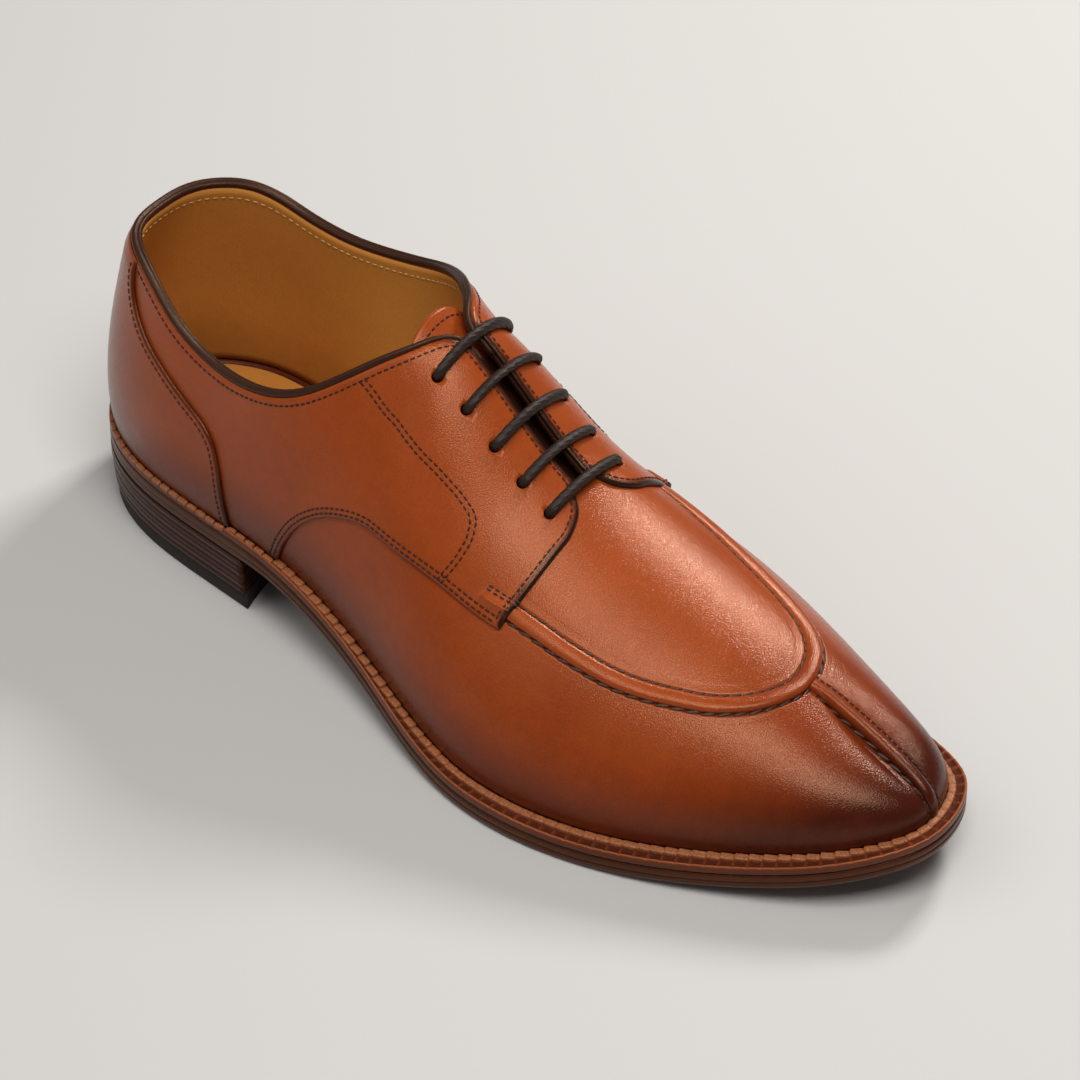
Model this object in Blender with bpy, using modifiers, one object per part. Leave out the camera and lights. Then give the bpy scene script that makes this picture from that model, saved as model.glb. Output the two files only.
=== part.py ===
"""Split toe derby, right shoe: a welted leather dress shoe on a stacked heel.

Every size is in millimetres in the last's own frame: x runs from the back of the heel to the toe, y to the
medial side and z up from the floor. Meshes are made in metres, about the middle of the sole's outline.
"""
import bpy
import bmesh
import numpy as np
from mathutils import Vector
from mathutils.bvhtree import BVHTree
from mathutils.geometry import delaunay_2d_cdt

# Driving sizes
MM = 0.001
GAP = 0.3
LENGTH = 305.0
CENTRE_Y = 2.8
TOE_SPRING = 14.6
HEEL_HEIGHT = 19.6
BALL_FRONT = 211.0
BALL_BACK = 182.0
BREAST = 78.0
SOLE_THICK = 5.5
EDGE = 8.8
WALL = 1.6
QUARTER_THICK = 1.2
COUNTER_THICK = 1.0
WELT_IN = 1.4
INSOLE_PROUD = 0.2

# Rims of the outsole and of the welt from below: how far in, and height over the sole's underside
SOLE_RIM = [
    # inset, height
    (2.2, 0.0),
    (0.7, 0.5),
    (0.1, 1.6),
    (0.0, 4.4),
    (0.7, SOLE_THICK),
]
WELT_RIM = [
    # inset, height
    (0.6, SOLE_THICK + GAP),
    (0.0, SOLE_THICK + GAP + 0.8),
    (0.0, EDGE - 0.9),
    (0.5, EDGE - 0.2),
    (1.2, EDGE),
]

# Outsole seen from above: breadth on each side of y = 0, and how far the welt stands out of the upper
OUTLINE = [
    # x, lateral, medial, welt
    (0, 0, 0, 4.2),
    (4, 13.8, 13.6, 4.2),
    (15, 25.2, 25.2, 4.2),
    (36, 33.6, 33.4, 4.0),
    (65, 37.2, 32.0, 3.6),
    (100, 41.2, 28.4, 3.2),
    (130, 47.8, 30.0, 3.4),
    (165, 59.2, 40.2, 4.6),
    (190, 63.0, 47.4, 5.2),
    (215, 60.4, 50.6, 5.6),
    (240, 52.6, 46.6, 5.8),
    (265, 41.2, 38.2, 5.8),
    (285, 29.4, 30.2, 5.6),
    (298, 17.2, 20.6, 5.4),
    (LENGTH, 0, 0, 5.4),
]

# Ribs of the last, each a curve from the welt up to the crest of the instep or, behind it, to the ankle
RIBS = [
    # x, top_x, half_lateral, half_medial, top_z, flare_lateral, flare_medial, low, handle, dip
    (0, 18, 0, 0, 112, 4.0, 4.0, 0.28, 7, 26),
    (15, 23, 17, 17, 112, 4.5, 4.5, 0.28, 4, 26),
    (36, 39, 25, 25, 110, 5.0, 5.0, 0.30, 3, 26),
    (65, 64, 28, 27, 106, 5.0, 5.0, 0.34, 3, 24),
    (100, 98, 20, 21, 114, 4.5, 5.0, 0.42, 12, 12),
    (130, 128, 0, 0, 109.5, 4.5, 5.0, 0.50, 23, 0),
    (165, 162, 0, 0, 82.5, 4.0, 4.5, 0.55, 27, 0),
    (190, 184, 0, 0, 70, 3.0, 3.0, 0.56, 30, 0),
    (215, 206, 0, 0, 62, 2.0, 2.0, 0.56, 29, 0),
    (240, 226, 0, 0, 55.5, 1.0, 1.0, 0.57, 26, 0),
    (265, 243, 0, 0, 50, 0.5, 0.5, 0.58, 24, 0),
    (285, 252, 0, 0, 46.8, 0.2, 0.2, 0.60, 24, 0),
    (LENGTH, 257, 0, 0, 44.7, 0, 0, 0.62, 24, 0),
]
CREST_X = 130.0
CONE_X = 116.0
CONE_LEAN = 20.0

# Height of the collar's cut edge, under its binding
TOPLINE = [
    # x, lateral, medial
    (0, 95.0, 95.0),
    (15, 95.0, 95.0),
    (26, 93.6, 94.4),
    (36, 89.6, 91.8),
    (45, 84.8, 89.6),
    (55, 81.2, 88.6),
    (66, 79.4, 88.4),
    (79, 80.4, 89.6),
    (90, 83.4, 92.4),
    (100, 88.2, 96.6),
    (110, 95.2, 101.6),
    (118, 101.0, 105.2),
    (126, 105.6, 107.6),
    (134, 108.0, 109.0),
    (150, 112.0, 112.0),
    (LENGTH, 150.0, 150.0),
]
THROAT_GAP = 5.2
THROAT_START = 110.0
THROAT_END = 170.0
CORNER_ROUND = 0.03
CORNER_STATIONS = (0.418, 0.428, 0.45, 0.46, 0.475, 0.5425)

# Quarter: its front edge and its lower edge, as stations along the sole and heights up the rib
QUARTER_FRONT = [
    # x, height
    (176.5, 0.955),
    (182.4, 0.91),
    (185.0, 0.84),
    (184.6, 0.75),
    (182.8, 0.61),
    (180.0, 0.475),
]
QUARTER_LOWER = [
    # x, height
    (180.0, 0.475),
    (159.0, 0.425),
    (140.0, 0.36),
    (123.0, 0.315),
    (110.0, 0.258),
    (103.0, 0.20),
    (96.0, 0.10),
    (91.5, 0.0),
]
COUNTER_EDGE = [
    # x, height
    (72.0, 0.0),
    (71.0, 0.14),
    (70.0, 0.27),
    (67.5, 0.365),
    (62.5, 0.43),
    (53.8, 0.485),
    (43.5, 0.54),
    (35.0, 0.585),
    (28.0, 0.645),
    (24.0, 0.70),
    (22.0, 0.90),
]
OVERLAY_FOOT = 0.014
OVERLAY_BACK = 0.006
COUNTER_SHORT = 0.012
COUNTER_BELOW = 0.004
PATCH_SCALE = (412.0, 112.0)
PATCH_MARGIN = 1.5

# Apron: middle line of its raised seam, seen from above, and the ridge that splits the toe
APRON = [
    # x, lateral y, medial y
    (186.4, -36.2, 28.9),
    (200, -35.2, 28.0),
    (215, -32.5, 26.0),
    (230, -26.6, 23.2),
    (241, -20.3, 19.4),
    (249, -12.0, 12.8),
]
APRON_NOSE = (253.2, 1.0)
LIP_WIDTH = 4.8
LIP_RISE = 1.5
TOE_RIDGE = [
    # x, y
    (257.0, 4.0),
    (268, 5.2),
    (282, 4.9),
    (293, 3.6),
    (298.4, 2.9),
]
RIDGE_WIDTH = 4.6
RIDGE_RISE = 1.7
RIDGE_ROUND = [
    # across, lift
    (-0.5, 0.0),
    (-0.42, 0.65),
    (0.0, 1.0),
    (0.42, 0.65),
    (0.5, 0.0),
]

# Lacing
EYELET_ROWS = 5
EYELET_FIRST_X = 132.6
EYELET_PITCH_X = 10.1
EYELET_HALF = 15.0
EYELET_RADIUS = 2.3
PUNCH_DEPTH = 14.0
LACE_RADIUS = 1.2
LACE_CLEAR = 0.45
LACE_UNDER = 0.9
LACE_BAR = 0.66
LACE_STEPS = 5
LACE_STEP_IN = 0.9
LACE_BEND = [
    # along, depth
    (3.4, 1.0),
    (0.9, 0.72),
]
BINDING_RADIUS = 1.7
BINDING_CLEAR = 0.45
BINDING_END_X = 127.0

# Tongue
TONGUE_THICK = 1.8
TONGUE_REACH = 17.0
TONGUE_FRONT_X = 189.0
TONGUE_LAST_X = 136.0
TONGUE_HALF = 18.0
TONGUE_RAMP = 16.0
TONGUE_TIP = [
    # reach, narrow
    (0.35, 0.95),
    (0.7, 0.85),
    (0.92, 0.72),
    (1.0, 0.55),
]

# Heel
TOP_PIECE_THICK = 6.0
LIFTS = 3
HEEL_TAPER = 1.0
TOP_PIECE_IN = 0.5
HEEL_SOFT = 0.5
LIFT_EASE = 0.35
BREAST_HOLLOW = 5.0
HEEL_AROUND = 27
HEEL_ACROSS = 9

# How finely the meshes are cut
AROUND = 64
UP = 10
FINE_AROUND = 360
FINE_UP = 96
FRONT_STEPS = 12
LOWER_STEPS = 17
COUNTER_STEPS = 21
LIP_STEPS = 42
RIDGE_STEPS = 13
EYELET_SIDES = 10
BINDING_SIDES = 6
LACE_SIDES = 6
TONGUE_ALONG = 8
TONGUE_ACROSS = 11


def clear_scene():
    """Remove what the file opens with."""
    for item in list(bpy.data.objects):
        bpy.data.objects.remove(item, do_unlink=True)


# Splines
def loop_spline(knots, values, period=2.0):
    """Cubic spline through the values, smooth round a closed loop."""
    knots = np.asarray(knots, float)
    values = np.asarray(values, float)
    count = len(knots)
    step = np.diff(np.append(knots, knots[0] + period))
    matrix = np.zeros((count, count))
    right = np.zeros(count)
    for i in range(count):
        before = (i - 1) % count
        after = (i + 1) % count
        matrix[i, before] += step[before]
        matrix[i, i] += 2 * (step[before] + step[i])
        matrix[i, after] += step[i]
        right[i] = 6 * ((values[after] - values[i]) / step[i] - (values[i] - values[before]) / step[before])
    bend = np.linalg.solve(matrix, right)

    def value(s):
        s = np.mod(np.asarray(s, float) - knots[0], period) + knots[0]
        i = np.clip(np.searchsorted(knots, s, side="right") - 1, 0, count - 1)
        after = (i + 1) % count
        a = s - knots[i]
        b = step[i] - a
        curve = (bend[i] * b ** 3 + bend[after] * a ** 3) / (6 * step[i])
        line_i = (values[i] / step[i] - bend[i] * step[i] / 6) * b
        line_after = (values[after] / step[i] - bend[after] * step[i] / 6) * a
        return curve + line_i + line_after

    return value


def path_spline(points, count):
    """Points evenly spread along a smooth open curve through the given ones."""
    points = np.asarray(points, float)
    chord = np.append(0.0, np.cumsum(np.linalg.norm(np.diff(points, axis=0), axis=1)))
    slope = np.gradient(points, chord, axis=0)
    place = np.linspace(0.0, chord[-1], count)
    i = np.clip(np.searchsorted(chord, place, side="right") - 1, 0, len(chord) - 2)
    width = (chord[i + 1] - chord[i])[:, None]
    t = ((place - chord[i]) / (chord[i + 1] - chord[i]))[:, None]
    start = (2 * t ** 3 - 3 * t ** 2 + 1) * points[i] + (t ** 3 - 2 * t ** 2 + t) * width * slope[i]
    end = (3 * t ** 2 - 2 * t ** 3) * points[i + 1] + (t ** 3 - t ** 2) * width * slope[i + 1]
    return start + end


def station(x):
    """Loop parameter of a length along the sole: 0 at the heel's back, 1 at the toe."""
    return np.arccos(np.clip(1 - 2 * np.asarray(x, float) / LENGTH, -1, 1)) / np.pi


def loop_of(rows, lateral, medial, sign=1.0):
    """Spline round the shoe through a table's lateral and medial columns; it starts at the heel's back."""
    place = station([row[0] for row in rows])
    first = sign * np.array([row[lateral] for row in rows], float)
    second = np.array([row[medial] for row in rows], float)
    knots = np.concatenate([place, 2 - place[-2:0:-1]])
    return loop_spline(knots, np.concatenate([first, second[-2:0:-1]]))


SOLE_Y = loop_of(OUTLINE, 1, 2, sign=-1.0)
WELT_OUT = loop_of(OUTLINE, 3, 3)
TOP_X = loop_of(RIBS, 1, 1)
TOP_Y = loop_of(RIBS, 2, 3, sign=-1.0)
TOP_Z = loop_of(RIBS, 4, 4)
FLARE = loop_of(RIBS, 5, 6)
LOW = loop_of(RIBS, 7, 7)
HANDLE = loop_of(RIBS, 8, 8)
DIP = loop_of(RIBS, 9, 9)


# Form of the last
def outline(s):
    """Edge of the outsole in plan."""
    s = np.asarray(s, float)
    return np.stack([LENGTH * (1 - np.cos(np.pi * s)) / 2, SOLE_Y(s)], -1)


def outward(s):
    """Unit vector in plan that points out of the outline."""
    tiny = 1e-4
    run = outline(s + tiny) - outline(s - tiny)
    normal = np.stack([run[..., 1], -run[..., 0]], -1)
    return normal / np.linalg.norm(normal, axis=-1, keepdims=True)


def sole_z(x):
    """Height of the outsole's underside: flat at the ball, then up to the toe and to the heel seat."""
    front = np.clip((x - BALL_FRONT) / (LENGTH - BALL_FRONT), 0, 1)
    back = np.clip((BALL_BACK - x) / (BALL_BACK - BREAST), 0, 1)
    return TOE_SPRING * front ** 2 + HEEL_HEIGHT * back ** 2 * (3 - 2 * back)


def sole_loop(s, inset, height):
    """Loop inside the outline at a height over the sole's underside."""
    plan = outline(s) - outward(s) * np.asarray(inset)[..., None]
    return np.concatenate([plan, (sole_z(plan[..., 0]) + height)[..., None]], -1)


def surface(s, h):
    """Point of the upper's outer face: s runs round the shoe and h up the rib, from the welt to its top."""
    s, h = np.broadcast_arrays(np.asarray(s, float), np.asarray(h, float))
    foot = sole_loop(s, WELT_OUT(s), EDGE + GAP)
    behind_crest = np.abs(np.mod(s, 2) - 1) > 1 - station(CREST_X)
    top = np.stack([TOP_X(s), CENTRE_Y + np.where(behind_crest, TOP_Y(s), 0.0), TOP_Z(s)], -1)
    crest = np.clip((TOP_X(s) - CONE_X) / (CREST_X - CONE_X), 0, 1)
    normal = outward(s)
    lean = top[..., :2] - foot[..., :2] - normal * (CONE_LEAN * (1 - crest))[..., None]
    lean = lean / np.linalg.norm(lean, axis=-1, keepdims=True)
    near_end = 0.01
    off_end = np.where(np.abs(np.mod(s, 2) - 1) < near_end, 1 - near_end, s)
    tiny = 1e-3
    rise = TOP_Z(off_end + tiny) - TOP_Z(off_end - tiny)
    run = TOP_X(off_end + tiny) - TOP_X(off_end - tiny)
    slope = rise / np.where(np.abs(run) > 1e-9, run, 1e9) * lean[..., 0] * crest
    height = top[..., 2] - foot[..., 2]
    low = np.concatenate([foot[..., :2] + normal * FLARE(s)[..., None],
                          (foot[..., 2] + LOW(s) * height)[..., None]], -1)
    high = np.concatenate([top[..., :2] - lean * HANDLE(s)[..., None],
                           (top[..., 2] - slope * HANDLE(s) - DIP(s))[..., None]], -1)
    up = h[..., None]
    down = 1 - up
    return down ** 3 * foot + 3 * down ** 2 * up * low + 3 * down * up ** 2 * high + up ** 3 * top


def surface_normal(s, h):
    """Unit normal of the upper's outer face."""
    tiny = 1e-3
    h = np.clip(h, tiny, 0.985)
    along = surface(s + tiny, h) - surface(s - tiny, h)
    up = surface(s, h + tiny) - surface(s, h - tiny)
    normal = np.cross(along, up)
    return normal / np.linalg.norm(normal, axis=-1, keepdims=True)


def lifted(s, h, offset):
    """Point at a distance from the upper's outer face."""
    return surface(s, h) + surface_normal(s, h) * np.asarray(offset)[..., None]


def rib_height(s, test):
    """Height up one rib where a test of its point turns from true to false."""
    low, high = 0.0, 1.0
    for _ in range(40):
        middle = (low + high) / 2
        if test(surface(s, middle)):
            low = middle
        else:
            high = middle
    return low


TOP_EDGE_Z = loop_of(TOPLINE, 1, 2)


def top_height(s):
    """Height up the rib where the collar or the throat cuts it; 1 where the vamp closes over the crest."""
    if TOP_X(s) > THROAT_END:
        return 1.0
    collar = rib_height(s, lambda p: p[2] < TOP_EDGE_Z(s))
    if TOP_X(s) < THROAT_START:
        return collar
    throat = rib_height(s, lambda p: abs(p[1] - CENTRE_Y) > THROAT_GAP / 2)
    blend = np.clip(0.5 + (throat - collar) / (2 * CORNER_ROUND), 0, 1)
    return throat + (collar - throat) * blend - CORNER_ROUND * blend * (1 - blend)


def columns():
    """Stations of the upper's columns, closer together where the collar turns into the facings."""
    corner = np.array(CORNER_STATIONS)
    even = np.arange(AROUND) * 2.0 / AROUND
    return np.sort(np.concatenate([even, corner, 2 - corner]))


# Meshes
def frame_shift():
    """Middle of the outsole's outline, which is the part's origin."""
    breadth = outline(np.linspace(0, 2, AROUND, endpoint=False))[:, 1]
    return np.array([LENGTH / 2, (breadth.min() + breadth.max()) / 2, 0.0])


SHIFT = frame_shift()


def make_material(name, colour, roughness):
    """Principled material of one leather or rubber."""
    material = bpy.data.materials.new(name)
    material.use_nodes = True
    shader = material.node_tree.nodes["Principled BSDF"]
    shader.inputs["Base Color"].default_value = (*colour, 1.0)
    shader.inputs["Roughness"].default_value = roughness
    shader.inputs["Metallic"].default_value = 0.0
    return material


def add_object(name, points, faces, material, collection):
    """Object of a mesh, with its faces turned out."""
    mesh = bpy.data.meshes.new(name)
    mesh.from_pydata([tuple(p) for p in (np.asarray(points, float) - SHIFT) * MM], [], faces)
    mesh.materials.append(material)
    mesh.shade_smooth()
    item = bpy.data.objects.new(name, mesh)
    collection.objects.link(item)
    return item


def turn_out(item):
    """Turn a closed mesh's faces outwards."""
    edit = bmesh.new()
    edit.from_mesh(item.data)
    bmesh.ops.recalc_face_normals(edit, faces=edit.faces)
    edit.to_mesh(item.data)
    edit.free()


def add_loft(name, loops, material, collection, ring=False, ladder=False):
    """Solid through a run of closed loops; a ring joins the last to the first, else both ends are capped.

    A ladder cap steps across from side to side, so that it follows a sole's curve.
    """
    levels = len(loops)
    count = len(loops[0])
    faces = []
    for k in range(levels if ring else levels - 1):
        a = k * count
        b = (k + 1) % levels * count
        for i in range(count):
            j = (i + 1) % count
            faces.append((a + i, a + j, b + j, b + i))
    if not ring:
        for base in (0, (levels - 1) * count):
            if ladder:
                for i in range(count // 2):
                    rung = [i, i + 1, (count - i - 1) % count, (count - i) % count]
                    rung = [base + corner for corner in rung]
                    faces.append(tuple(dict.fromkeys(rung)))
            else:
                faces.append(tuple(range(base, base + count)))
    item = add_object(name, np.concatenate(loops), faces, material, collection)
    turn_out(item)
    return item


def add_shell(item, thickness, outwards):
    """Give an open surface its thickness."""
    solid = item.modifiers.new("wall", "SOLIDIFY")
    solid.thickness = thickness * MM
    solid.offset = 1.0 if outwards else -1.0
    return item


def add_patch(name, border, offset, thickness, material, collection):
    """Shell over a region of the upper, given by its border in (s, h), on the upper's own columns."""
    scale = np.array(PATCH_SCALE)
    margin = PATCH_MARGIN
    border = np.asarray(border, float) * scale
    rows = np.linspace(0, 1, UP + 1)[1:-1]
    around = columns()
    spots = [(s, row * top_height(s)) for s in np.concatenate([around - 2, around]) for row in rows]
    inner = [spot for spot in np.array(spots) * scale if inside(border, *spot, margin)]
    points = [Vector(p) for p in border] + [Vector(p) for p in inner]
    count = len(border)
    edges = [(i, (i + 1) % count) for i in range(count)]
    placed, _, faces, _, _, _ = delaunay_2d_cdt(points, edges, [list(range(count))], 1, 1e-5)
    place = np.array([tuple(p) for p in placed]) / scale
    item = add_object(name, lifted(place[:, 0], place[:, 1], np.full(len(place), offset)),
                      [tuple(f) for f in faces], material, collection)
    return add_shell(item, thickness, True)


def inside(border, a, b, margin):
    """Whether a point lies in a polygon, at least a margin away from its border."""
    start = border
    end = np.roll(border, -1, axis=0)
    point = np.array([a, b])
    run = end - start
    t = np.clip(((point - start) * run).sum(1) / (run ** 2).sum(1), 0, 1)
    if np.linalg.norm(start + run * t[:, None] - point, axis=1).min() < margin:
        return False
    crosses = (start[:, 1] > b) != (end[:, 1] > b)
    where = start[:, 0] + (b - start[:, 1]) * run[:, 0] / np.where(crosses, run[:, 1], 1.0)
    return bool(np.count_nonzero(crosses & (where > a)) % 2)


class TopView:
    """The upper's outer face looked up from above, by x and y."""

    def __init__(self):
        s = np.linspace(0, 2, FINE_AROUND, endpoint=False)
        h = np.linspace(0, 1, FINE_UP)
        points = surface(s[:, None], h[None, :]).reshape(-1, 3)
        faces = []
        for i in range(FINE_AROUND):
            j = (i + 1) % FINE_AROUND
            for k in range(FINE_UP - 1):
                faces.append((i * FINE_UP + k, j * FINE_UP + k, j * FINE_UP + k + 1, i * FINE_UP + k + 1))
        self.tree = BVHTree.FromPolygons([Vector(p) for p in points], faces)

    def height(self, x, y):
        """Point of the surface at x and y."""
        above = 200.0
        off_crest = 0.01
        hit = self.tree.ray_cast(Vector((x, y + off_crest, above)), Vector((0, 0, -1)))[0]
        return np.array(hit)

    def at(self, x, y):
        """Point and unit normal of the surface at x and y."""
        reach = 0.8
        along = self.height(x + reach, y) - self.height(x - reach, y)
        across = self.height(x, y + reach) - self.height(x, y - reach)
        normal = np.cross(along, across)
        return self.height(x, y), normal / np.linalg.norm(normal)


# Sub-parts of the sole
def add_outsole(material, collection):
    """Leather outsole with a softened lower edge."""
    s = np.linspace(0, 2, AROUND, endpoint=False)
    loops = [sole_loop(s, np.full(AROUND, inset), z) for inset, z in SOLE_RIM]
    add_loft("outsole", loops, material, collection, ladder=True)


def add_welt(material, collection):
    """Strip round the whole sole that carries the upper, with a rounded rim."""
    s = np.linspace(0, 2, AROUND, endpoint=False)
    inner = WELT_OUT(s) + WALL + WELT_IN
    loops = [sole_loop(s, np.full(AROUND, inset), z) for inset, z in WELT_RIM]
    loops += [sole_loop(s, inner, EDGE), sole_loop(s, inner, SOLE_THICK + GAP)]
    add_loft("welt", loops, material, collection, ring=True)


def add_insole(material, collection):
    """Insole board that fills the welt."""
    s = np.linspace(0, 2, AROUND, endpoint=False)
    inset = WELT_OUT(s) + WALL + WELT_IN + GAP
    loops = [sole_loop(s, inset, SOLE_THICK + GAP), sole_loop(s, inset, EDGE + INSOLE_PROUD)]
    add_loft("insole", loops, material, collection, ladder=True)


def heel_loop(inset, z):
    """Loop of one heel layer: the sole's outline round the back, closed by the hollow breast."""
    reach = station(BREAST)
    s = np.linspace(reach, -reach, HEEL_AROUND)
    edge = outline(s) - outward(s) * inset
    start, end = edge[-1], edge[0]
    t = np.linspace(0, 1, HEEL_ACROSS)[1:-1]
    breast = start + (end - start) * t[:, None]
    breast[:, 0] -= BREAST_HOLLOW * 4 * t * (1 - t)
    plan = np.concatenate([edge, breast])
    return np.concatenate([plan, np.full((len(plan), 1), z)], 1)


def add_heel(lift_material, rubber_material, collection):
    """Stacked heel: a rubber top piece on the floor and leather lifts up to the heel seat."""
    top = TOP_PIECE_THICK
    foot = HEEL_TAPER + TOP_PIECE_IN
    loops = [heel_loop(foot + HEEL_SOFT, 0.0), heel_loop(foot, HEEL_SOFT), heel_loop(foot, top)]
    add_loft("heel_top_piece", loops, rubber_material, collection)
    thick = (HEEL_HEIGHT - top) / LIFTS
    for k in range(LIFTS):
        low = top + k * thick + GAP
        high = top + (k + 1) * thick - (GAP if k == LIFTS - 1 else 0.0)
        inset = HEEL_TAPER * (1 - (k + 1) / LIFTS)
        loops = [heel_loop(inset + LIFT_EASE, low), heel_loop(inset, low + LIFT_EASE)]
        loops += [heel_loop(inset, high - LIFT_EASE), heel_loop(inset + LIFT_EASE, high)]
        add_loft(f"heel_lift_{k + 1}", loops, lift_material, collection)


# Sub-parts of the upper
def add_upper(material, collection):
    """Hollow upper: one wall from the welt to the collar, split at the throat and closed over the vamp."""
    around = columns()
    count = len(around)
    rows = np.linspace(0, 1, UP + 1)
    index = np.zeros((count, UP + 1), int)
    points = []
    for j, s in enumerate(around):
        top = top_height(s)
        twin = (count - j) % count
        for k, row in enumerate(rows):
            if k == UP and top == 1.0 and twin < j:
                index[j, k] = index[twin, k]
                continue
            index[j, k] = len(points)
            points.append(surface(s, row * top))
    faces = []
    for j in range(count):
        after = (j + 1) % count
        for k in range(UP):
            corners = (index[j, k], index[after, k], index[after, k + 1], index[j, k + 1])
            faces.append(tuple(dict.fromkeys(int(c) for c in corners)))
    return add_shell(add_object("upper", points, faces, material, collection), WALL, False)


def border_path(rows, count):
    """Smooth line through a table of lengths along the sole and heights up the rib, as (s, h)."""
    scale = np.array([1.0, 100.0])
    return [(station(x), h) for x, h in path_spline(np.array(rows) * scale, count) / scale]


def quarter_border(side):
    """Border of a quarter in (s, h): along the collar, down the facing, along its lower edge, up the back."""
    back = OVERLAY_BACK
    corner = station(QUARTER_FRONT[0][0])
    around = columns()
    collar = [back] + [s for s in around if back < s < corner]
    border = [(s, top_height(side_s(s, side))) for s in collar]
    border += border_path(QUARTER_FRONT, FRONT_STEPS)[:-1]
    border += border_path(QUARTER_LOWER, LOWER_STEPS)[:-1]
    foot_end = station(QUARTER_LOWER[-1][0])
    border += [(foot_end, 0.0)] + [(s, 0.0) for s in around[::-1] if back < s < foot_end]
    border += [(back, row * top_height(back)) for row in np.linspace(0, 1, UP + 1)[:-1]]
    return [(side_s(s, side), max(h, OVERLAY_FOOT)) for s, h in border]


def side_s(s, side):
    """Loop parameter on the lateral (-1) or the medial (1) side."""
    return s if side < 0 else 2 - s


def add_quarter(name, side, material, collection):
    """Quarter laid over the vamp, with its facing along the throat."""
    return add_patch(name, quarter_border(side), GAP, QUARTER_THICK, material, collection)


def add_counter(material, collection):
    """Counter patch round the back of the heel, over both quarters."""
    edge = border_path(COUNTER_EDGE, COUNTER_STEPS)
    lateral = [(s, max(h, OVERLAY_FOOT)) for s, h in edge if h < top_height(s) - COUNTER_SHORT]
    medial = [(-s, h) for s, h in lateral]
    around = columns()
    around = np.concatenate([around - 2, around])
    reach = lateral[-1][0]
    top = [reach] + [s for s in around[::-1] if abs(s) < reach] + [-reach]
    top = [(s, top_height(s) - COUNTER_BELOW) for s in top]
    foot_reach = lateral[0][0]
    foot = [(s, OVERLAY_FOOT) for s in around if abs(s) < foot_reach]
    border = lateral + top + medial[::-1] + foot
    stack = 2 * GAP + QUARTER_THICK
    add_patch("heel_counter", border, stack, COUNTER_THICK, material, collection)


def add_ridge(name, plan, width, rise, view, material, collection):
    """Rounded strip that runs over the upper along a line seen from above."""
    profile = [(a, GAP + lift * rise) for a, lift in RIDGE_ROUND]
    spots = [view.at(x, y) for x, y in plan]
    points = np.array([p for p, _ in spots])
    run = np.gradient(points, axis=0)
    loops = []
    for (point, normal), along in zip(spots, run):
        across = np.cross(normal, along)
        across = across / np.linalg.norm(across)
        loops.append(np.array([point + across * a * width + normal * lift for a, lift in profile]))
    add_loft(name, loops, material, collection)


def add_apron_seam(view, material, collection):
    """Raised seam round the apron and the ridge that splits the toe below it."""
    lateral = [(x, y) for x, y, _ in APRON]
    medial = [(x, y) for x, _, y in APRON[::-1]]
    add_ridge("apron_lip", path_spline(lateral + [APRON_NOSE] + medial, LIP_STEPS), LIP_WIDTH, LIP_RISE, view,
              material, collection)
    add_ridge("toe_ridge", path_spline(TOE_RIDGE, RIDGE_STEPS), RIDGE_WIDTH, RIDGE_RISE, view,
              material, collection)


def add_tube(name, points, radius, sides, material, collection):
    """Round cord along a run of points."""
    curve = bpy.data.curves.new(name, "CURVE")
    curve.dimensions = "3D"
    curve.bevel_depth = radius * MM
    curve.bevel_resolution = sides // 2 - 2
    curve.use_fill_caps = True
    line = curve.splines.new("POLY")
    line.points.add(len(points) - 1)
    for spot, point in zip(line.points, (np.asarray(points) - SHIFT) * MM):
        spot.co = (*point, 1.0)
    curve.materials.append(material)
    item = bpy.data.objects.new(name, curve)
    collection.objects.link(item)
    return item


def add_binding(material, collection):
    """Rolled binding along the collar's edge, from one facing to the other."""
    reach = station(BINDING_END_X)
    middle = (GAP + QUARTER_THICK - WALL) / 2
    around = columns()
    around = np.concatenate([around - 2, around])
    stations = np.array([reach] + [s for s in around[::-1] if abs(s) < reach] + [-reach])
    tops = np.array([top_height(s) for s in stations])
    edge = lifted(stations, tops, np.full(len(stations), middle))
    run = np.gradient(edge, axis=0)
    rise = np.cross(run, surface_normal(stations, tops))
    rise = rise / np.linalg.norm(rise, axis=1, keepdims=True)
    points = edge + rise * (BINDING_CLEAR + BINDING_RADIUS)
    add_tube("collar_binding", points, BINDING_RADIUS, BINDING_SIDES, material, collection)


def eyelet_spots(view):
    """Rows of eyelets from the collar down: for each side, the point and normal on the upper."""
    rows = []
    for k in range(EYELET_ROWS):
        x = EYELET_FIRST_X + k * EYELET_PITCH_X
        rows.append({side: view.at(x, CENTRE_Y + side * EYELET_HALF) for side in (-1, 1)})
    return rows


def add_eyelet_cutters(rows, pieces, collection):
    """Punch the eyelets through the upper and the quarters."""
    edit = bmesh.new()
    for row in rows:
        for point, normal in row.values():
            turn = Vector(normal).to_track_quat("Z", "Y").to_matrix().to_4x4()
            turn.translation = Vector((point - SHIFT) * MM)
            bmesh.ops.create_cone(edit, cap_ends=True, segments=EYELET_SIDES, radius1=EYELET_RADIUS * MM,
                                  radius2=EYELET_RADIUS * MM, depth=PUNCH_DEPTH * MM, matrix=turn)
    mesh = bpy.data.meshes.new("eyelet_punch")
    edit.to_mesh(mesh)
    edit.free()
    cutter = bpy.data.objects.new("eyelet_punch", mesh)
    cutter.hide_render = True
    cutter.display_type = "WIRE"
    collection.objects.link(cutter)
    for piece in pieces:
        cut = piece.modifiers.new("eyelets", "BOOLEAN")
        cut.operation = "DIFFERENCE"
        cut.solver = "EXACT"
        cut.object = cutter


def unit(vector):
    """Vector of length one."""
    return vector / np.linalg.norm(vector)


def across_from(point, normal, target):
    """Unit vector in a point's own plane that heads for a target."""
    return unit((target - point) - normal * np.dot(target - point, normal))


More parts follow.
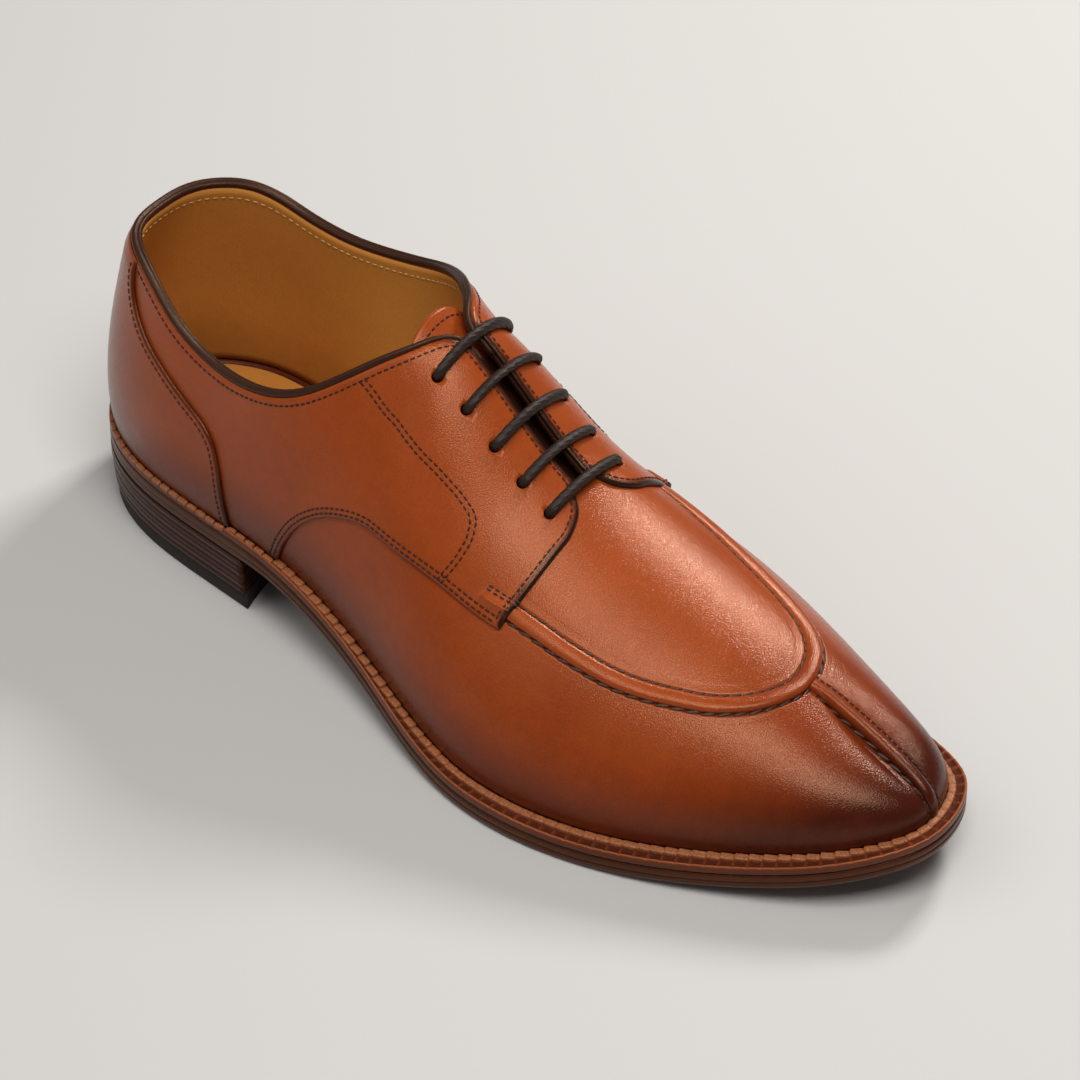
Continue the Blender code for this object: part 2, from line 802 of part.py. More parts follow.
def add_lace(rows, view, material, collection):
    """Lace in straight bars over the facings, joined by runs under them from row to row."""
    over = GAP + QUARTER_THICK + LACE_CLEAR + LACE_RADIUS
    under = -(WALL + LACE_UNDER + LACE_RADIUS)
    bar = np.linspace(LACE_BAR, -LACE_BAR, LACE_STEPS) * EYELET_HALF
    points = []
    side = -1
    for k in range(EYELET_ROWS - 1, -1, -1):
        x = EYELET_FIRST_X + k * EYELET_PITCH_X
        first, first_normal = rows[k][side]
        last, last_normal = rows[k][-side]
        below = min(k + 1, EYELET_ROWS - 1)
        above = max(k - 1, 0)
        come = unit(rows[below - 1][side][0] - rows[below][side][0])
        go = unit(rows[above][-side][0] - rows[above + 1][-side][0])
        points += [first - come * back + first_normal * under * deep for back, deep in LACE_BEND]
        points.append(first)
        points.append(first + across_from(first, first_normal, last) * LACE_STEP_IN + first_normal * over)
        for y in bar:
            point, normal = view.at(x, CENTRE_Y + side * y)
            points.append(point + normal * over)
        points.append(last + across_from(last, last_normal, first) * LACE_STEP_IN + last_normal * over)
        points.append(last)
        points += [last + go * on + last_normal * under * deep for on, deep in LACE_BEND[::-1]]
        side = -side
    add_tube("lace", points, LACE_RADIUS, LACE_SIDES, material, collection)


def add_tongue(view, material, collection):
    """Tongue under the facings, from beneath the vamp to a little above the collar."""
    deep = WALL + LACE_UNDER + 2 * LACE_RADIUS + LACE_UNDER
    across = np.linspace(-1, 1, TONGUE_ACROSS)
    rows = []
    for x in np.linspace(TONGUE_FRONT_X, TONGUE_LAST_X, TONGUE_ALONG):
        near = np.clip((TONGUE_FRONT_X - x) / TONGUE_RAMP, 0, 1)
        offset = (WALL + GAP) + (deep - WALL - GAP) * near
        row = []
        for a in across:
            point, normal = view.at(x, CENTRE_Y + a * TONGUE_HALF)
            row.append(point - normal * offset)
        rows.append(np.array(row))
    along = rows[-1] - rows[-2]
    along = along / np.linalg.norm(along, axis=1, keepdims=True)
    start = rows[-1]
    for reach, narrow in TONGUE_TIP:
        row = start + along[len(across) // 2] * TONGUE_REACH * reach
        middle = row[len(across) // 2]
        rows.append(middle + (row - middle) * narrow)
    count = len(across)
    faces = []
    for r in range(len(rows) - 1):
        for c in range(count - 1):
            a = r * count + c
            faces.append((a, a + 1, a + count + 1, a + count))
    item = add_object("tongue", np.concatenate(rows), faces, material, collection)
    return add_shell(item, TONGUE_THICK, False)


def main():
    """Build the shoe."""
    clear_scene()
    shoe = bpy.data.collections.new("split_toe_derby")
    cutters = bpy.data.collections.new("cutters")
    bpy.context.scene.collection.children.link(shoe)
    bpy.context.scene.collection.children.link(cutters)
    tan = make_material("tan_calf", (0.29, 0.085, 0.025), 0.35)
    dark = make_material("dark_calf", (0.075, 0.028, 0.014), 0.4)
    sole = make_material("sole_leather", (0.085, 0.036, 0.02), 0.45)
    welt = make_material("welt_leather", (0.24, 0.09, 0.04), 0.5)
    heel = make_material("heel_leather", (0.06, 0.025, 0.017), 0.4)
    rubber = make_material("top_piece_rubber", (0.075, 0.058, 0.05), 0.7)
    lining = make_material("lining_leather", (0.42, 0.22, 0.07), 0.6)
    cord = make_material("lace_cord", (0.028, 0.014, 0.01), 0.6)
    add_outsole(sole, shoe)
    add_welt(welt, shoe)
    add_insole(lining, shoe)
    add_heel(heel, rubber, shoe)
    view = TopView()
    eyelets = eyelet_spots(view)
    upper = add_upper(tan, shoe)
    lateral = add_quarter("quarter_lateral", -1, tan, shoe)
    medial = add_quarter("quarter_medial", 1, tan, shoe)
    add_eyelet_cutters(eyelets, (upper, lateral, medial), cutters)
    add_counter(tan, shoe)
    add_apron_seam(view, tan, shoe)
    add_binding(dark, shoe)
    add_tongue(view, tan, shoe)
    add_lace(eyelets, view, cord, shoe)


main()
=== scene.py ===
"""Looks of the split toe derby, right shoe: leathers, stitching, lining, lace and studio.

Sizes are millimetres in the last's own frame, as in the part's source: x from the heel's back to the toe,
y to the medial side, z up from the floor. Meshes are made in metres, about the middle of the sole's outline.
"""

import logging
import math
from dataclasses import dataclass, field
from enum import Enum
from typing import Any, Callable, Optional, Sequence, Union

import bmesh
import bpy
import numpy as np
from bpy.types import ID, Material, Node, NodeSocket, NodeTree, Object
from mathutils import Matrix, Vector
from mathutils.bvhtree import BVHTree
from mathutils.geometry import delaunay_2d_cdt
from mathutils.kdtree import KDTree


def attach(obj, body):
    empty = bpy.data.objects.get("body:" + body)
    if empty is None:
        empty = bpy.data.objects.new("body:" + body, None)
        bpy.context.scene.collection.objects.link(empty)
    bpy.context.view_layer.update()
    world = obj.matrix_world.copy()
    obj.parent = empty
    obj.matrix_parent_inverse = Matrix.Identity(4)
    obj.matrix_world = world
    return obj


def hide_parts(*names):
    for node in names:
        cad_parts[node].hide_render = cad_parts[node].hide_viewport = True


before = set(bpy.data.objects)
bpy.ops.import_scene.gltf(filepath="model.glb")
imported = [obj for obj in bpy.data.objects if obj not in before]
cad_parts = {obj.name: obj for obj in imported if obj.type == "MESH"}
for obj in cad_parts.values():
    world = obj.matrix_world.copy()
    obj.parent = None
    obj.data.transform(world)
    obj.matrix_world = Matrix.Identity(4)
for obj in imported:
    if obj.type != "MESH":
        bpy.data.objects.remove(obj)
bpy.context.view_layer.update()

LOG = logging.getLogger("split_toe_derby")
MM = 0.001
BODY = "root"
Colour = tuple[float, float, float]
Array = np.ndarray
Amount = Union[float, Array]
Feed = Union[float, tuple, NodeSocket, Node]  # value or link of an input
Frames = tuple[Array, Array, Array]  # points, normals, directions across

# Outsole seen from above: breadth on each side of y = 0, and how far the welt stands out of the upper
OUTLINE = [
    # x, lateral, medial, welt
    (0, 0, 0, 4.2),
    (4, 13.8, 13.6, 4.2),
    (15, 25.2, 25.2, 4.2),
    (36, 33.6, 33.4, 4.0),
    (65, 37.2, 32.0, 3.6),
    (100, 41.2, 28.4, 3.2),
    (130, 47.8, 30.0, 3.4),
    (165, 59.2, 40.2, 4.6),
    (190, 63.0, 47.4, 5.2),
    (215, 60.4, 50.6, 5.6),
    (240, 52.6, 46.6, 5.8),
    (265, 41.2, 38.2, 5.8),
    (285, 29.4, 30.2, 5.6),
    (298, 17.2, 20.6, 5.4),
    (305, 0, 0, 5.4),
]

# Ribs of the last, each a curve from the welt up to the crest of the instep or, behind it, to the ankle
RIBS = [
    # x, top_x, half_lateral, half_medial, top_z, flare_lateral, flare_medial, low, handle, dip
    (0, 18, 0, 0, 112, 4.0, 4.0, 0.28, 7, 26),
    (15, 23, 17, 17, 112, 4.5, 4.5, 0.28, 4, 26),
    (36, 39, 25, 25, 110, 5.0, 5.0, 0.30, 3, 26),
    (65, 64, 28, 27, 106, 5.0, 5.0, 0.34, 3, 24),
    (100, 98, 20, 21, 114, 4.5, 5.0, 0.42, 12, 12),
    (130, 128, 0, 0, 109.5, 4.5, 5.0, 0.50, 23, 0),
    (165, 162, 0, 0, 82.5, 4.0, 4.5, 0.55, 27, 0),
    (190, 184, 0, 0, 70, 3.0, 3.0, 0.56, 30, 0),
    (215, 206, 0, 0, 62, 2.0, 2.0, 0.56, 29, 0),
    (240, 226, 0, 0, 55.5, 1.0, 1.0, 0.57, 26, 0),
    (265, 243, 0, 0, 50, 0.5, 0.5, 0.58, 24, 0),
    (285, 252, 0, 0, 46.8, 0.2, 0.2, 0.60, 24, 0),
    (305, 257, 0, 0, 44.7, 0, 0, 0.62, 24, 0),
]

# Height of the collar's cut edge, under its binding
TOPLINE = [
    # x, lateral, medial
    (0, 95.0, 95.0),
    (15, 95.0, 95.0),
    (26, 93.6, 94.4),
    (36, 89.6, 91.8),
    (45, 84.8, 89.6),
    (55, 81.2, 88.6),
    (66, 79.4, 88.4),
    (79, 80.4, 89.6),
    (90, 83.4, 92.4),
    (100, 88.2, 96.6),
    (110, 95.2, 101.6),
    (118, 101.0, 105.2),
    (126, 105.6, 107.6),
    (134, 108.0, 109.0),
    (150, 112.0, 112.0),
    (305, 150.0, 150.0),
]

# Edges of the overlays, as lengths along the sole and heights up the rib
QUARTER_FRONT = [
    # x, height
    (176.5, 0.955),
    (182.4, 0.91),
    (185.0, 0.84),
    (184.6, 0.75),
    (182.8, 0.61),
    (180.0, 0.475),
]
QUARTER_LOWER = [
    # x, height
    (180.0, 0.475),
    (159.0, 0.425),
    (140.0, 0.36),
    (123.0, 0.315),
    (110.0, 0.258),
    (103.0, 0.20),
    (96.0, 0.10),
    (91.5, 0.0),
]
COUNTER_EDGE = [
    # x, height
    (72.0, 0.0),
    (71.0, 0.14),
    (70.0, 0.27),
    (67.5, 0.365),
    (62.5, 0.43),
    (53.8, 0.485),
    (43.5, 0.54),
    (35.0, 0.585),
    (28.0, 0.645),
    (24.0, 0.70),
    (22.0, 0.90),
]
EYESTAY = [
    # x, height
    (117.2, 0.672),
    (126.5, 0.614),
    (136.9, 0.604),
    (146.9, 0.622),
    (154.9, 0.633),
    (158.6, 0.629),
    (160.3, 0.595),
    (160.2, 0.531),
    (157.8, 0.436),
]
DART = [
    # x, height
    (172.2, 0.530),
    (181.6, 0.556),
]

# Apron: middle line of its raised seam, seen from above, and the ridge that splits the toe
APRON = [
    # x, lateral y, medial y
    (178.0, -36.6, 29.4),
    (186.4, -36.2, 28.9),
    (200, -35.2, 28.0),
    (215, -32.5, 26.0),
    (230, -26.6, 23.2),
    (241, -20.3, 19.4),
    (249, -12.0, 12.8),
]
APRON_NOSE = (253.2, 1.0)
TOE_RIDGE = [
    # x, y
    (255.2, 3.6),
    (260.0, 4.5),
    (268, 5.2),
    (282, 4.9),
    (293, 3.6),
    (298.4, 2.9),
]


class Side(Enum):
    """A side of the right shoe."""

    LATERAL = -1
    MEDIAL = 1

    def place(self, s: Array) -> Array:
        """Loop parameter on this side of a station counted on the lateral side."""
        return s if self is Side.LATERAL else 2 - s


# Small helpers
def smoothstep(low: float, high: float, value: Array) -> Array:
    """Ease from 0 at low to 1 at high.

    Args:
        low: Value where the ease starts.
        high: Value where it ends.
        value: Where it is read.

    Returns:
        The eased values.
    """
    t = np.clip((np.asarray(value, float) - low) / (high - low), 0, 1)
    return t * t * (3 - 2 * t)


def unit(vectors: Array) -> Array:
    """Vectors of length one along the last axis."""
    return vectors / np.linalg.norm(vectors, axis=-1, keepdims=True)


def station(x: Array, length: float = 305.0) -> Array:
    """Loop parameter of a length along the sole: 0 at the heel's back, 1 at the toe."""
    return np.arccos(np.clip(1 - 2 * np.asarray(x, float) / length, -1, 1)) / np.pi


def path_spline(points: Sequence, count: int) -> Array:
    """Points evenly spread along a smooth open curve.

    Args:
        points: Points that the curve runs through.
        count: Number of points wanted.

    Returns:
        The points on the curve.
    """
    points = np.asarray(points, float)
    chord = np.append(0.0, np.cumsum(np.linalg.norm(np.diff(points, axis=0), axis=1)))
    slope = np.gradient(points, chord, axis=0)
    place = np.linspace(0.0, chord[-1], count)
    i = np.clip(np.searchsorted(chord, place, side="right") - 1, 0, len(chord) - 2)
    width = (chord[i + 1] - chord[i])[:, None]
    t = ((place - chord[i]) / (chord[i + 1] - chord[i]))[:, None]
    start = (2 * t ** 3 - 3 * t ** 2 + 1) * points[i] + (t ** 3 - 2 * t ** 2 + t) * width * slope[i]
    end = (3 * t ** 2 - 2 * t ** 3) * points[i + 1] + (t ** 3 - t ** 2) * width * slope[i + 1]
    return start + end


def edge_path(rows: Sequence, count: int) -> Array:
    """Smooth line through a table of lengths along the sole and heights up the rib.

    Args:
        rows: The table.
        count: Number of points wanted.

    Returns:
        Points in (s, h).
    """
    scale = np.array([1.0, 100.0])
    line = path_spline(np.array(rows, float) * scale, count) / scale
    return np.stack([station(line[:, 0]), line[:, 1]], 1)


class LoopCurve:
    """Smooth curve through a table's columns round the shoe, from the heel's back by the lateral side."""

    def __init__(self, rows: Sequence, lateral: int, medial: int, sign: float = 1.0) -> None:
        """Solve the periodic cubic spline.

        Args:
            rows: Table whose first column is x.
            lateral: Column for the lateral side.
            medial: Column for the medial side.
            sign: Sign that the lateral column is given.
        """
        place = station(np.array([row[0] for row in rows]))
        first = sign * np.array([row[lateral] for row in rows], float)
        second = np.array([row[medial] for row in rows], float)
        self.knots = np.concatenate([place, 2 - place[-2:0:-1]])
        self.values = np.concatenate([first, second[-2:0:-1]])
        self.step = np.diff(np.append(self.knots, self.knots[0] + 2))
        count = len(self.knots)
        matrix = np.zeros((count, count))
        slope = (np.roll(self.values, -1) - self.values) / self.step
        for i in range(count):
            matrix[i, i - 1] += self.step[i - 1]
            matrix[i, i] += 2 * (self.step[i - 1] + self.step[i])
            matrix[i, (i + 1) % count] += self.step[i]
        self.bend = np.linalg.solve(matrix, 6 * (slope - np.roll(slope, 1)))

    def __call__(self, s: Array) -> Array:
        """Value of the curve.

        Args:
            s: Loop parameters.

        Returns:
            A value for each.
        """
        s = np.mod(np.asarray(s, float), 2)
        i = np.clip(np.searchsorted(self.knots, s, side="right") - 1, 0, len(self.knots) - 1)
        after = (i + 1) % len(self.knots)
        width = self.step[i]
        a = s - self.knots[i]
        b = width - a
        curve = (self.bend[i] * b ** 3 + self.bend[after] * a ** 3) / (6 * width)
        first = (self.values[i] / width - self.bend[i] * width / 6) * b
        return curve + first + (self.values[after] / width - self.bend[after] * width / 6) * a


@dataclass
class Last:
    """The form that the shoe is built on."""

    length: float = 305.0
    centre_y: float = 2.8
    toe_spring: float = 14.6
    heel_height: float = 19.6
    ball_front: float = 211.0
    ball_back: float = 182.0
    breast: float = 78.0
    sole_thick: float = 5.5
    edge: float = 8.8
    gap: float = 0.3
    wall: float = 1.6
    quarter_thick: float = 1.2
    counter_thick: float = 1.0
    crest_x: float = 130.0
    cone_x: float = 116.0
    cone_lean: float = 20.0
    throat_gap: float = 5.2
    throat_start: float = 110.0
    throat_end: float = 172.5
    corner_span: float = 0.013
    corner_steps: int = 7
    corner_end: float = 152.0
    rim_rise: float = 1.3
    outline_steps: int = 64
    cut_steps: int = 36
    plan_step: float = 1e-4
    face_step: float = 1e-3
    near_top: float = 0.985
    near_end: float = 0.01
    least_run: float = 1e-9

    def __post_init__(self) -> None:
        """Make the curves round the shoe from the tables."""
        self.sole_y = LoopCurve(OUTLINE, 1, 2, -1.0)
        self.welt_out = LoopCurve(OUTLINE, 3, 3)
        self.top_x = LoopCurve(RIBS, 1, 1)
        self.top_y = LoopCurve(RIBS, 2, 3, -1.0)
        self.top_z = LoopCurve(RIBS, 4, 4)
        self.flare = LoopCurve(RIBS, 5, 6)
        self.low = LoopCurve(RIBS, 7, 7)
        self.handle = LoopCurve(RIBS, 8, 8)
        self.dip = LoopCurve(RIBS, 9, 9)
        self.rim_z = LoopCurve(TOPLINE, 1, 2)
        breadth = self.outline(np.linspace(0, 2, self.outline_steps, endpoint=False))[:, 1]
        self.shift = np.array([self.length / 2, (breadth.min() + breadth.max()) / 2, 0.0])

    def world(self, points: Array) -> Array:
        """Points of the last's frame in metres in the part's frame."""
        return (np.asarray(points, float) - self.shift) * MM

    def outline(self, s: Array) -> Array:
        """Edge of the outsole in plan."""
        s = np.asarray(s, float)
        return np.stack([self.length * (1 - np.cos(np.pi * s)) / 2, self.sole_y(s)], -1)

    def outward(self, s: Array) -> Array:
        """Unit vector in plan that points out of the outline."""
        run = self.outline(s + self.plan_step) - self.outline(s - self.plan_step)
        return unit(np.stack([run[..., 1], -run[..., 0]], -1))

    def sole_z(self, x: Array) -> Array:
        """Height of the outsole's underside.

        Args:
            x: Lengths along the sole.

        Returns:
            A height for each.
        """
        front = np.clip((x - self.ball_front) / (self.length - self.ball_front), 0, 1)
        back = np.clip((self.ball_back - x) / (self.ball_back - self.breast), 0, 1)
        return self.toe_spring * front ** 2 + self.heel_height * back ** 2 * (3 - 2 * back)

    def sole_loop(self, s: Array, inset: Amount, height: Amount) -> Array:
        """Loop inside the outline at a height over the sole's underside.

        Args:
            s: Loop parameters.
            inset: How far inside the outline, one value or one for each parameter.
            height: Height over the underside, one value or one for each parameter.

        Returns:
            Points of the loop.
        """
        inset = np.broadcast_to(np.asarray(inset, float), np.shape(s))
        plan = self.outline(s) - self.outward(s) * inset[..., None]
        return np.concatenate([plan, (self.sole_z(plan[..., 0]) + height)[..., None]], -1)

    def surface(self, s: Array, h: Array) -> Array:
        """Point of the upper's outer face.

        Args:
            s: Loop parameter round the shoe.
            h: Height up the rib, from the welt to its top.

        Returns:
            Points of the face.
        """
        s, h = np.broadcast_arrays(np.asarray(s, float), np.asarray(h, float))
        foot = self.sole_loop(s, self.welt_out(s), self.edge + self.gap)
        from_toe = np.abs(np.mod(s, 2) - 1)
        behind_crest = from_toe > 1 - station(self.crest_x)
        top_x = self.top_x(s)
        top_y = self.centre_y + np.where(behind_crest, self.top_y(s), 0.0)
        top_z = self.top_z(s)
        top = np.stack([top_x, top_y, top_z], -1)
        crest = np.clip((top_x - self.cone_x) / (self.crest_x - self.cone_x), 0, 1)
        normal = self.outward(s)
        lean = unit(top[..., :2] - foot[..., :2] - normal * (self.cone_lean * (1 - crest))[..., None])
        off_end = np.where(from_toe < self.near_end, 1 - self.near_end, s)
        ahead = off_end + self.face_step
        behind = off_end - self.face_step
        rise = self.top_z(ahead) - self.top_z(behind)
        run = self.top_x(ahead) - self.top_x(behind)
        slope = rise / np.where(np.abs(run) > self.least_run, run, np.inf) * lean[..., 0] * crest
        handle = self.handle(s)
        low_plan = foot[..., :2] + normal * self.flare(s)[..., None]
        low_z = foot[..., 2] + self.low(s) * (top_z - foot[..., 2])
        low = np.concatenate([low_plan, low_z[..., None]], -1)
        high_plan = top[..., :2] - lean * handle[..., None]
        high_z = top_z - slope * handle - self.dip(s)
        high = np.concatenate([high_plan, high_z[..., None]], -1)
        up = h[..., None]
        down = 1 - up
        return down ** 3 * foot + 3 * down ** 2 * up * low + 3 * down * up ** 2 * high + up ** 3 * top

    def slopes(self, s: Array, h: Array) -> tuple[Array, Array]:
        """Change of the face's point with s and with h.

        Args:
            s: Loop parameters.
            h: Heights up the rib.

        Returns:
            The change along the shoe and the change up the rib.
        """
        step = self.face_step
        h = np.clip(h, step, self.near_top)
        along = (self.surface(s + step, h) - self.surface(s - step, h)) / (2 * step)
        up = (self.surface(s, h + step) - self.surface(s, h - step)) / (2 * step)
        return along, up

    def normal(self, s: Array, h: Array) -> Array:
        """Unit normal of the upper's outer face."""
        along, up = self.slopes(s, h)
        return unit(np.cross(along, up))

    def lifted(self, s: Array, h: Array, offset: Amount) -> Array:
        """Point at a distance from the upper's outer face."""
        return self.surface(s, h) + self.normal(s, h) * np.asarray(offset, float)[..., None]

    def shifted(self, place: Array, move: Array) -> Array:
        """Places on the face after a move along it.

        Args:
            place: Places in (s, h).
            move: Moves in millimetres, as vectors along the face.

        Returns:
            The new places in (s, h).
        """
        along, up = self.slopes(*place.T)
        a, b, c = (along * along).sum(1), (along * up).sum(1), (up * up).sum(1)
        d, e = (along * move).sum(1), (up * move).sum(1)
        return place + np.stack([(c * d - b * e), (a * e - b * d)], 1) / (a * c - b * b)[:, None]

    def top_height(self, s: Array) -> Array:
        """Height up the rib of the collar's or the throat's cut; 1 where the vamp closes over the crest."""
        s = np.atleast_1d(np.asarray(s, float))
        return np.where(self.top_x(s) > self.throat_end, 1.0, self.facing_height(s))

    def facing_height(self, s: Array) -> Array:
        """Height up the rib of a quarter's top edge: the collar, a soft corner, the throat's side.

        Args:
            s: Loop parameters.

        Returns:
            A height for each.
        """
        s = np.atleast_1d(np.asarray(s, float))
        steps = np.linspace(-1, 1, self.corner_steps + 2)[1:-1]
        weights = 1 - steps ** 2
        soft = sum(w * self.sharp_height(s + step * self.corner_span) for w, step in zip(weights, steps))
        behind = self.top_x(s) < self.corner_end
        return np.where(behind, soft / weights.sum(), self.sharp_height(s))

    def sharp_height(self, s: Array) -> Array:
        """Height up the rib where the collar's line or the throat's side cuts it, whichever is lower.

        Args:
            s: Loop parameters.

        Returns:
            A height for each.
        """
        rim = self.rim_z(s) + self.rim_rise
        collar = self.rib_height(s, lambda p: p[:, 2] < rim)
        behind = self.top_x(s) < self.throat_start
        half = self.throat_gap / 2
        throat = self.rib_height(s, lambda p: np.abs(p[:, 1] - self.centre_y) > half)
        return np.where(behind, collar, np.minimum(collar, throat))

    def rib_height(self, s: Array, test: Callable[[Array], Array]) -> Array:
        """Height up each rib where a test of its point turns from true to false.

        Args:
            s: Loop parameters of the ribs.
            test: What is asked of the points.

        Returns:
            A height for each.
        """
        low = np.zeros(len(s))
        high = np.ones(len(s))
        for _ in range(self.cut_steps):
            middle = (low + high) / 2
            good = test(self.surface(s, middle))
            low = np.where(good, middle, low)
            high = np.where(good, high, middle)
        return low


LAST = Last()


class TopView:
    """The upper's outer face looked up from above or along a ray."""

    around: int = 900
    up: int = 240
    above: float = 200.0
    off_crest: float = 0.01
    reach: float = 0.8
    drop_from: float = 8.0

    def __init__(self) -> None:
        """Make the search tree of the face."""
        s = np.linspace(0, 2, self.around, endpoint=False)
        h = np.linspace(0, 1, self.up)
        points = LAST.surface(s[:, None], h[None, :]).reshape(-1, 3)
        faces = grid_faces(self.around, self.up, wrap=True)
        self.tree = BVHTree.FromPolygons([Vector(p) for p in points], faces.tolist())

    def height(self, x: float, y: float) -> Array:
        """Point of the face at x and y."""
        start = Vector((x, y + self.off_crest, self.above))
        return np.array(self.tree.ray_cast(start, Vector((0, 0, -1)))[0])

    def at(self, x: float, y: float) -> tuple[Array, Array]:
        """Point and normal of the face seen from above.

        Args:
            x: Length along the sole.
            y: Place across it.

        Returns:
            The point and its unit normal.
        """
        along = self.height(x + self.reach, y) - self.height(x - self.reach, y)
        across = self.height(x, y + self.reach) - self.height(x, y - self.reach)
        return self.height(x, y), unit(np.cross(along, across))

    def drop(self, point: Array, normal: Array) -> Array:
        """Point of the face met by going down a normal from a little above a point."""
        hit = self.tree.ray_cast(Vector(point + normal * self.drop_from), Vector(-normal))[0]
        return np.array(hit) if hit is not None else point


# Meshes
def grid_faces(columns: int, rows: int, wrap: bool) -> Array:
    """Quads of a grid whose points run up each column in turn.

    Args:
        columns: Number of columns.
        rows: Points in a column.
        wrap: Whether the last column joins the first.

    Returns:
        Corner numbers of the quads.
    """
    j = np.arange(columns if wrap else columns - 1)[:, None]
    k = np.arange(rows - 1)[None, :]
    after = (j + 1) % columns
    corners = [j * rows + k, after * rows + k, after * rows + k + 1, j * rows + k + 1]
    return np.stack([np.broadcast_to(c, (len(j), rows - 1)) for c in corners], -1).reshape(-1, 4)


def slab_faces(top: Sequence, count: int) -> list:
    """Faces of a slab: those of its top, the same underneath, and walls along the open edges.

    Args:
        top: Faces of its top.
        count: Points of its top; those underneath follow in the same order.

    Returns:
        All its faces.
    """
    sides = dict.fromkeys((a, b) for face in top for a, b in zip(face, [*face[1:], face[0]]))
    walls = [(b, a, count + a, count + b) for a, b in sides if (b, a) not in sides]
    return [*top, *([count + i for i in face[::-1]] for face in top), *walls]


def search_tree(points: Array) -> KDTree:
    """Tree that finds the nearest of some points.

    Args:
        points: The points.

    Returns:
        The tree, ready for use.
    """
    tree = KDTree(len(points))
    for i, point in enumerate(points):
        tree.insert(Vector(point), i)
    tree.balance()
    return tree


def add_object(name: str, data: ID) -> Object:
    """New object of the scene.

    Args:
        name: Its name.
        data: Its mesh, lamp or camera.

    Returns:
        The object.
    """
    item = bpy.data.objects.new(name, data)
    bpy.context.scene.collection.objects.link(item)
    return item


def make_piece(name: str, points: Array, faces: Sequence, materials: Sequence,
               slots: Optional[Sequence] = None) -> Object:
    """Object of a closed mesh given in the last's frame, with its faces turned outwards.

    Args:
        name: Name of the piece.
        points: Its points in millimetres.
        faces: Its faces.
        materials: Materials of its slots.
        slots: Slot of each face, where there are several.

    Returns:
        The object, linked to the scene.
    """
    mesh = bpy.data.meshes.new(f"{name}_look")
    mesh.from_pydata(LAST.world(points).tolist(), [], [tuple(int(i) for i in face) for face in faces])
    for material in materials:
        mesh.materials.append(material)
    if slots is not None:
        mesh.polygons.foreach_set("material_index", np.asarray(slots, np.int32))
    edit = bmesh.new()
    edit.from_mesh(mesh)
    bmesh.ops.recalc_face_normals(edit, faces=edit.faces)
    edit.to_mesh(mesh)
    edit.free()
    mesh.shade_smooth()
    return add_object(f"{name}_look", mesh)


def write_tones(piece: Object, burnish: Amount, edge: Amount = 0.0) -> Object:
    """Store how far each point of a piece is burnished or darkened as painted shade, and how far it is
    stained as a cut edge or blacked as painted shade.

    Args:
        piece: The piece.
        burnish: One amount, or one for each point.
        edge: One amount, or one for each point.

    Returns:
        The piece.
    """
    for name, values in (("burnish", burnish), ("edge", edge)):
        layer = piece.data.attributes.new(name, "FLOAT", "POINT")
        layer.data.foreach_set("value", np.full(len(piece.data.vertices), values, np.float32))
    return piece


def loft(name: str, loops: Sequence[Array], material: Material, ring: bool = False,
         ladder: bool = True) -> Object:
    """Solid through a run of closed loops.

    Args:
        name: Name of the piece.
        loops: Loops of equal length.
        material: Its material.
        ring: Whether the last loop joins the first; otherwise both ends are capped.
        ladder: Whether a cap steps across from side to side, to follow the sole's curve.

    Returns:
        The piece.
    """
    levels = len(loops)
    count = len(loops[0])
    faces = []
    for k in range(levels if ring else levels - 1):
        a = k * count
        b = (k + 1) % levels * count
        faces += [(a + i, a + (i + 1) % count, b + (i + 1) % count, b + i) for i in range(count)]
    for base in () if ring else (0, (levels - 1) * count):
        if not ladder:
            faces.append(tuple(range(base, base + count)))
            continue
        for i in range(count // 2):
            rung = dict.fromkeys([i, i + 1, (count - i - 1) % count, (count - i) % count])
            faces.append(tuple(base + corner for corner in rung))
    return make_piece(name, np.concatenate(loops), faces, [material])


def settle(piece: Object, slot: str, *nodes: str) -> None:
    """Hand a finished piece to the frame.

    Args:
        piece: The piece.
        slot: Material slot of the record that it belongs to; not used.
        *nodes: Nodes that it stands for.
    """
    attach(piece, BODY)
    if nodes:
        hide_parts(*nodes)
    LOG.info("%s: %d faces", piece.name, len(piece.data.polygons))


def bake_modifiers(piece: Object) -> Object:
    """Turn what a piece's modifiers make into its plain mesh.

    Args:
        piece: The piece.

    Returns:
        The piece, without modifiers.
    """
    graph = bpy.context.evaluated_depsgraph_get()
    mesh = bpy.data.meshes.new_from_object(piece.evaluated_get(graph))
    old = piece.data
    piece.modifiers.clear()
    piece.data = mesh
    bpy.data.meshes.remove(old)
    return piece


